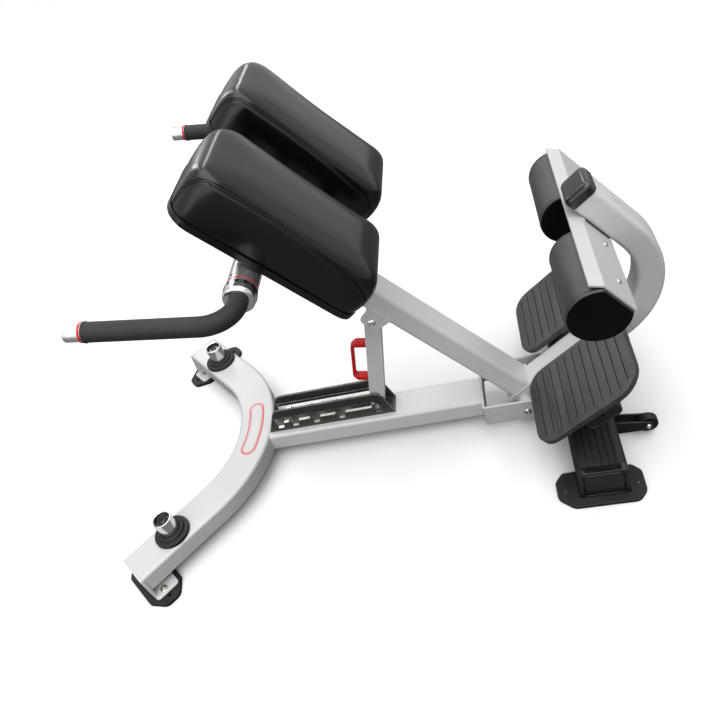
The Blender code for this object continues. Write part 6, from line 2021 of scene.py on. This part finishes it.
@dataclass
class Rollers:
    """The two flat-backed foot rollers.

    Attributes:
        a: Place of their axes along the foot tube.
        b: Place of their axes across the foot tube.
        radius: Their radius.
        inner_y: Their inner ends.
        outer_y: Their outer ends.
        flat_b: Place of their flat backs.
    """

    a: float = 0.2495
    b: float = 0.3923
    radius: float = 0.0627
    inner_y: float = 0.0640
    outer_y: float = 0.2640
    flat_b: float = 0.4384

    def outline(self, shrink: float) -> list[Point]:
        """The D section in b and a.

        Args:
            shrink: How far it is drawn in.

        Returns:
            Points in order.
        """
        radius = self.radius - shrink
        flat = self.flat_b - shrink * 0.4
        reach = math.acos((flat - self.b) / radius)
        spin = [reach + (TURN - 2.0 * reach) * index / 72.0 for index in range(73)]
        return [(self.b + radius * math.cos(t), self.a + radius * math.sin(t)) for t in spin]

    def build_roller(self, side: Side) -> None:
        """One roller: puffed sleeve and its end discs.

        Args:
            side: Which roller.
        """
        length = self.outer_y - self.inner_y
        start = self.inner_y if side is Side.FAR else -self.outer_y
        sleeve = Solid.face(self.outline(0.0012))
        sleeve.rise(length).soften(0.0042, 4, 40.0)
        sleeve.place(TILT @ upright(Vector((0.0, start + length, 0.0))))
        piece = stand_in("roller_" + side.label, sleeve, ROLLER_SKIN, Body.FRAME, weighted=False)
        ends = Solid()
        for y in (start, start + length):
            out = -1.0 if y == start else 1.0
            disc = Solid.face(self.outline(0.0052))
            disc.rise(-out * 0.0006)
            disc.inset(0.0012, Vector((0.0, 0.0, -out * 0.0003)))
            disc.place(TILT @ upright(Vector((0.0, y - out * 0.0002, 0.0))))
            ends.join(disc)
            rim = [TILT @ Vector((b, y + out * 0.0001, a)) for b, a in self.outline(0.0046)]
            ends.join(tube_curve(rim, 0.0009, closed=True))
        add_piece("roller_ends_" + side.label, ends, ROLLER_END, Body.FRAME, weighted=False)
        seams = Solid()
        for y in (start + 0.0065, start + length - 0.0065):
            ring = [TILT @ Vector((b, y, a)) for b, a in self.outline(0.0014)]
            seams.join(tube_curve(ring, 0.0006, closed=True))
        add_piece("roller_seams_" + side.label, seams, THREAD, Body.FRAME, weighted=False)

    def build(self) -> None:
        """Makes both rollers."""
        for side in Side:
            self.build_roller(side)


# Studio


@dataclass(frozen=True)
class Lamp:
    """One soft lamp.

    Attributes:
        name: Its name.
        place: Where it hangs.
        aim: The point that it looks at.
        size: Its two sides.
        power: Its power in watts.
    """

    name: str
    place: Triple
    aim: Triple
    size: Point
    power: float

    def build(self) -> None:
        """Adds the lamp to the scene."""
        data = bpy.data.lights.new(self.name, "AREA")
        data.shape = "RECTANGLE"
        data.size, data.size_y = self.size
        data.energy = self.power
        place = Vector(self.place)
        look = (Vector(self.aim) - place).to_track_quat("-Z", "Y").to_matrix().to_4x4()
        put_up(self.name, data).matrix_world = Matrix.Translation(place) @ look


@dataclass
class Studio:
    """Floor, lamps, world and camera.

    Attributes:
        lens: Focal length in millimetres on a 36 mm sensor.
        place: Where the camera stands.
        right: Direction to the right of the picture.
        down: Direction to its lower edge.
        forward: Direction of view.
        sun_aim: Direction of the overhead light.
        sun_angle: Its apparent size.
        sun_strength: Its strength.
        lamps: The soft lamps.
    """

    lens: float = 34.21
    place: Vector = field(default_factory=lambda: Vector((0.3991, -1.2405, 1.3888)))
    right: Vector = field(default_factory=lambda: Vector((0.95393632, 0.04939041, -0.29591568)))
    down: Vector = field(default_factory=lambda: Vector((-0.18078775, -0.69251172, -0.69838622)))
    forward: Vector = field(default_factory=lambda: Vector((-0.23941866, 0.71971391, -0.6516829)))
    sun_aim: Triple = (-0.12, 0.16, -1.0)
    sun_angle: float = math.radians(80.0)
    sun_strength: float = 3.3
    lamps: tuple[Lamp, ...] = (
        Lamp("back_panel", (1.7, 2.3, 2.0), (-0.2, -0.1, 0.8), (4.4, 3.0), 13.0),
        Lamp("back_strip", (-0.45, 2.4, 2.75), (-0.35, -0.1, 0.8), (0.26, 2.2), 15.0),
        Lamp("left_strip", (-1.60, 2.0, 2.3), (-0.35, -0.1, 0.8), (0.26, 2.2), 13.0),
        Lamp("near_fill", (-0.9, -3.0, 1.7), (0.0, 0.0, 0.4), (4.6, 2.6), 44.0),
    )

    def build_sun(self) -> None:
        """A broad even light from overhead."""
        data = bpy.data.lights.new("overhead", "SUN")
        data.energy = self.sun_strength
        data.angle = self.sun_angle
        look = Vector(self.sun_aim).to_track_quat("-Z", "Y").to_matrix().to_4x4()
        put_up("overhead", data).matrix_world = look

    def build_camera(self) -> None:
        """The camera at the photograph's viewpoint."""
        data = bpy.data.cameras.new("camera")
        data.lens = self.lens
        data.sensor_width = 36.0
        camera = put_up("camera", data)
        turn = Matrix((self.right, -self.down, -self.forward)).transposed().to_4x4()
        camera.matrix_world = Matrix.Translation(self.place) @ turn
        bpy.context.scene.camera = camera

    def seen(self, graph: Graph, plain: bpy.types.Node, white: bpy.types.Node,
             gloss: float) -> bpy.types.Node:
        """Mixes a shader that lights the bench with a white one that the camera sees.

        Args:
            graph: The material's or the world's graph.
            plain: The shader for the bench's own light.
            white: The shader for the camera and for rays through glass.
            gloss: Share of the white one in reflections.

        Returns:
            The mixing node.
        """
        path = graph.add("LightPath")
        shown = graph.math("MAXIMUM", path.outputs["Is Camera Ray"], path.outputs["Is Transmission Ray"])
        shown = graph.math("ADD", shown, graph.math("MULTIPLY", path.outputs["Is Glossy Ray"], gloss), True)
        return graph.add("MixShader", {}, {0: shown, 1: plain.outputs[0], 2: white.outputs[0]})

    def build_floor(self) -> None:
        """A pale floor: white to the camera, greyer to the object's own light."""
        floor = Solid()
        bmesh.ops.create_grid(floor.bm, x_segments=8, y_segments=8, size=9.0)
        mesh = bpy.data.meshes.new("floor")
        floor.bm.to_mesh(mesh)
        floor.bm.free()
        material = bpy.data.materials.new("floor")
        material.use_nodes = True
        tree = material.node_tree
        tree.nodes.clear()
        graph = Graph(tree)
        white = graph.add("BsdfDiffuse", {}, {"Color": (0.885, 0.885, 0.89, 1.0)})
        grey = graph.add("BsdfDiffuse", {}, {"Color": (0.13, 0.13, 0.133, 1.0)})
        mix = self.seen(graph, grey, white, 0.05)
        end = graph.add("OutputMaterial")
        tree.links.new(mix.outputs[0], end.inputs["Surface"])
        mesh.materials.append(material)
        put_up("floor", mesh)

    def build_world(self) -> None:
        """A dim world for light, white to the camera."""
        world = bpy.data.worlds.new("studio")
        bpy.context.scene.world = world
        world.use_nodes = True
        tree = world.node_tree
        tree.nodes.clear()
        graph = Graph(tree)
        dim = graph.add("Background", {}, {"Color": (0.9, 0.93, 1.0, 1.0), "Strength": 0.10})
        white = graph.add("Background", {}, {"Color": (1.0, 1.0, 1.0, 1.0), "Strength": 1.0})
        mix = self.seen(graph, dim, white, 0.68)
        end = graph.add("OutputWorld")
        tree.links.new(mix.outputs[0], end.inputs["Surface"])

    def build(self) -> None:
        """Makes the studio."""
        bpy.context.scene.view_settings.view_transform = "Standard"
        self.build_camera()
        self.build_floor()
        self.build_world()
        self.build_sun()
        for lamp in self.lamps:
            lamp.build()


def dress_hidden(nodes: Iterable[str]) -> None:
    """Gives the CAD nodes that stay hidden a finish too.

    Args:
        nodes: Every CAD node's name.
    """
    finishes = {"pad": VINYL, "roller": ROLLER_SKIN, "bolt": ZINC, "screw": ZINC, "foot": RUBBER}
    for name in nodes:
        data = bpy.data.objects[name].data
        finish = next((f for word, f in finishes.items() if word in name), SILVER_PAINT)
        data.materials.clear()
        data.materials.append(finish.material())


def main() -> None:
    """Loads the frame, dresses the bench and sets the studio."""
    logging.basicConfig(level=logging.INFO)
    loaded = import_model()
    dress_hidden(loaded["nodes"])
    for part in (BaseFrame(), RearCross(), TiltFrame(), Strut(), Handles(), HipPads(), Rollers(), Studio()):
        LOG.info("building %s", type(part).__name__)
        part.build()


if __name__ == "__main__":
    main()
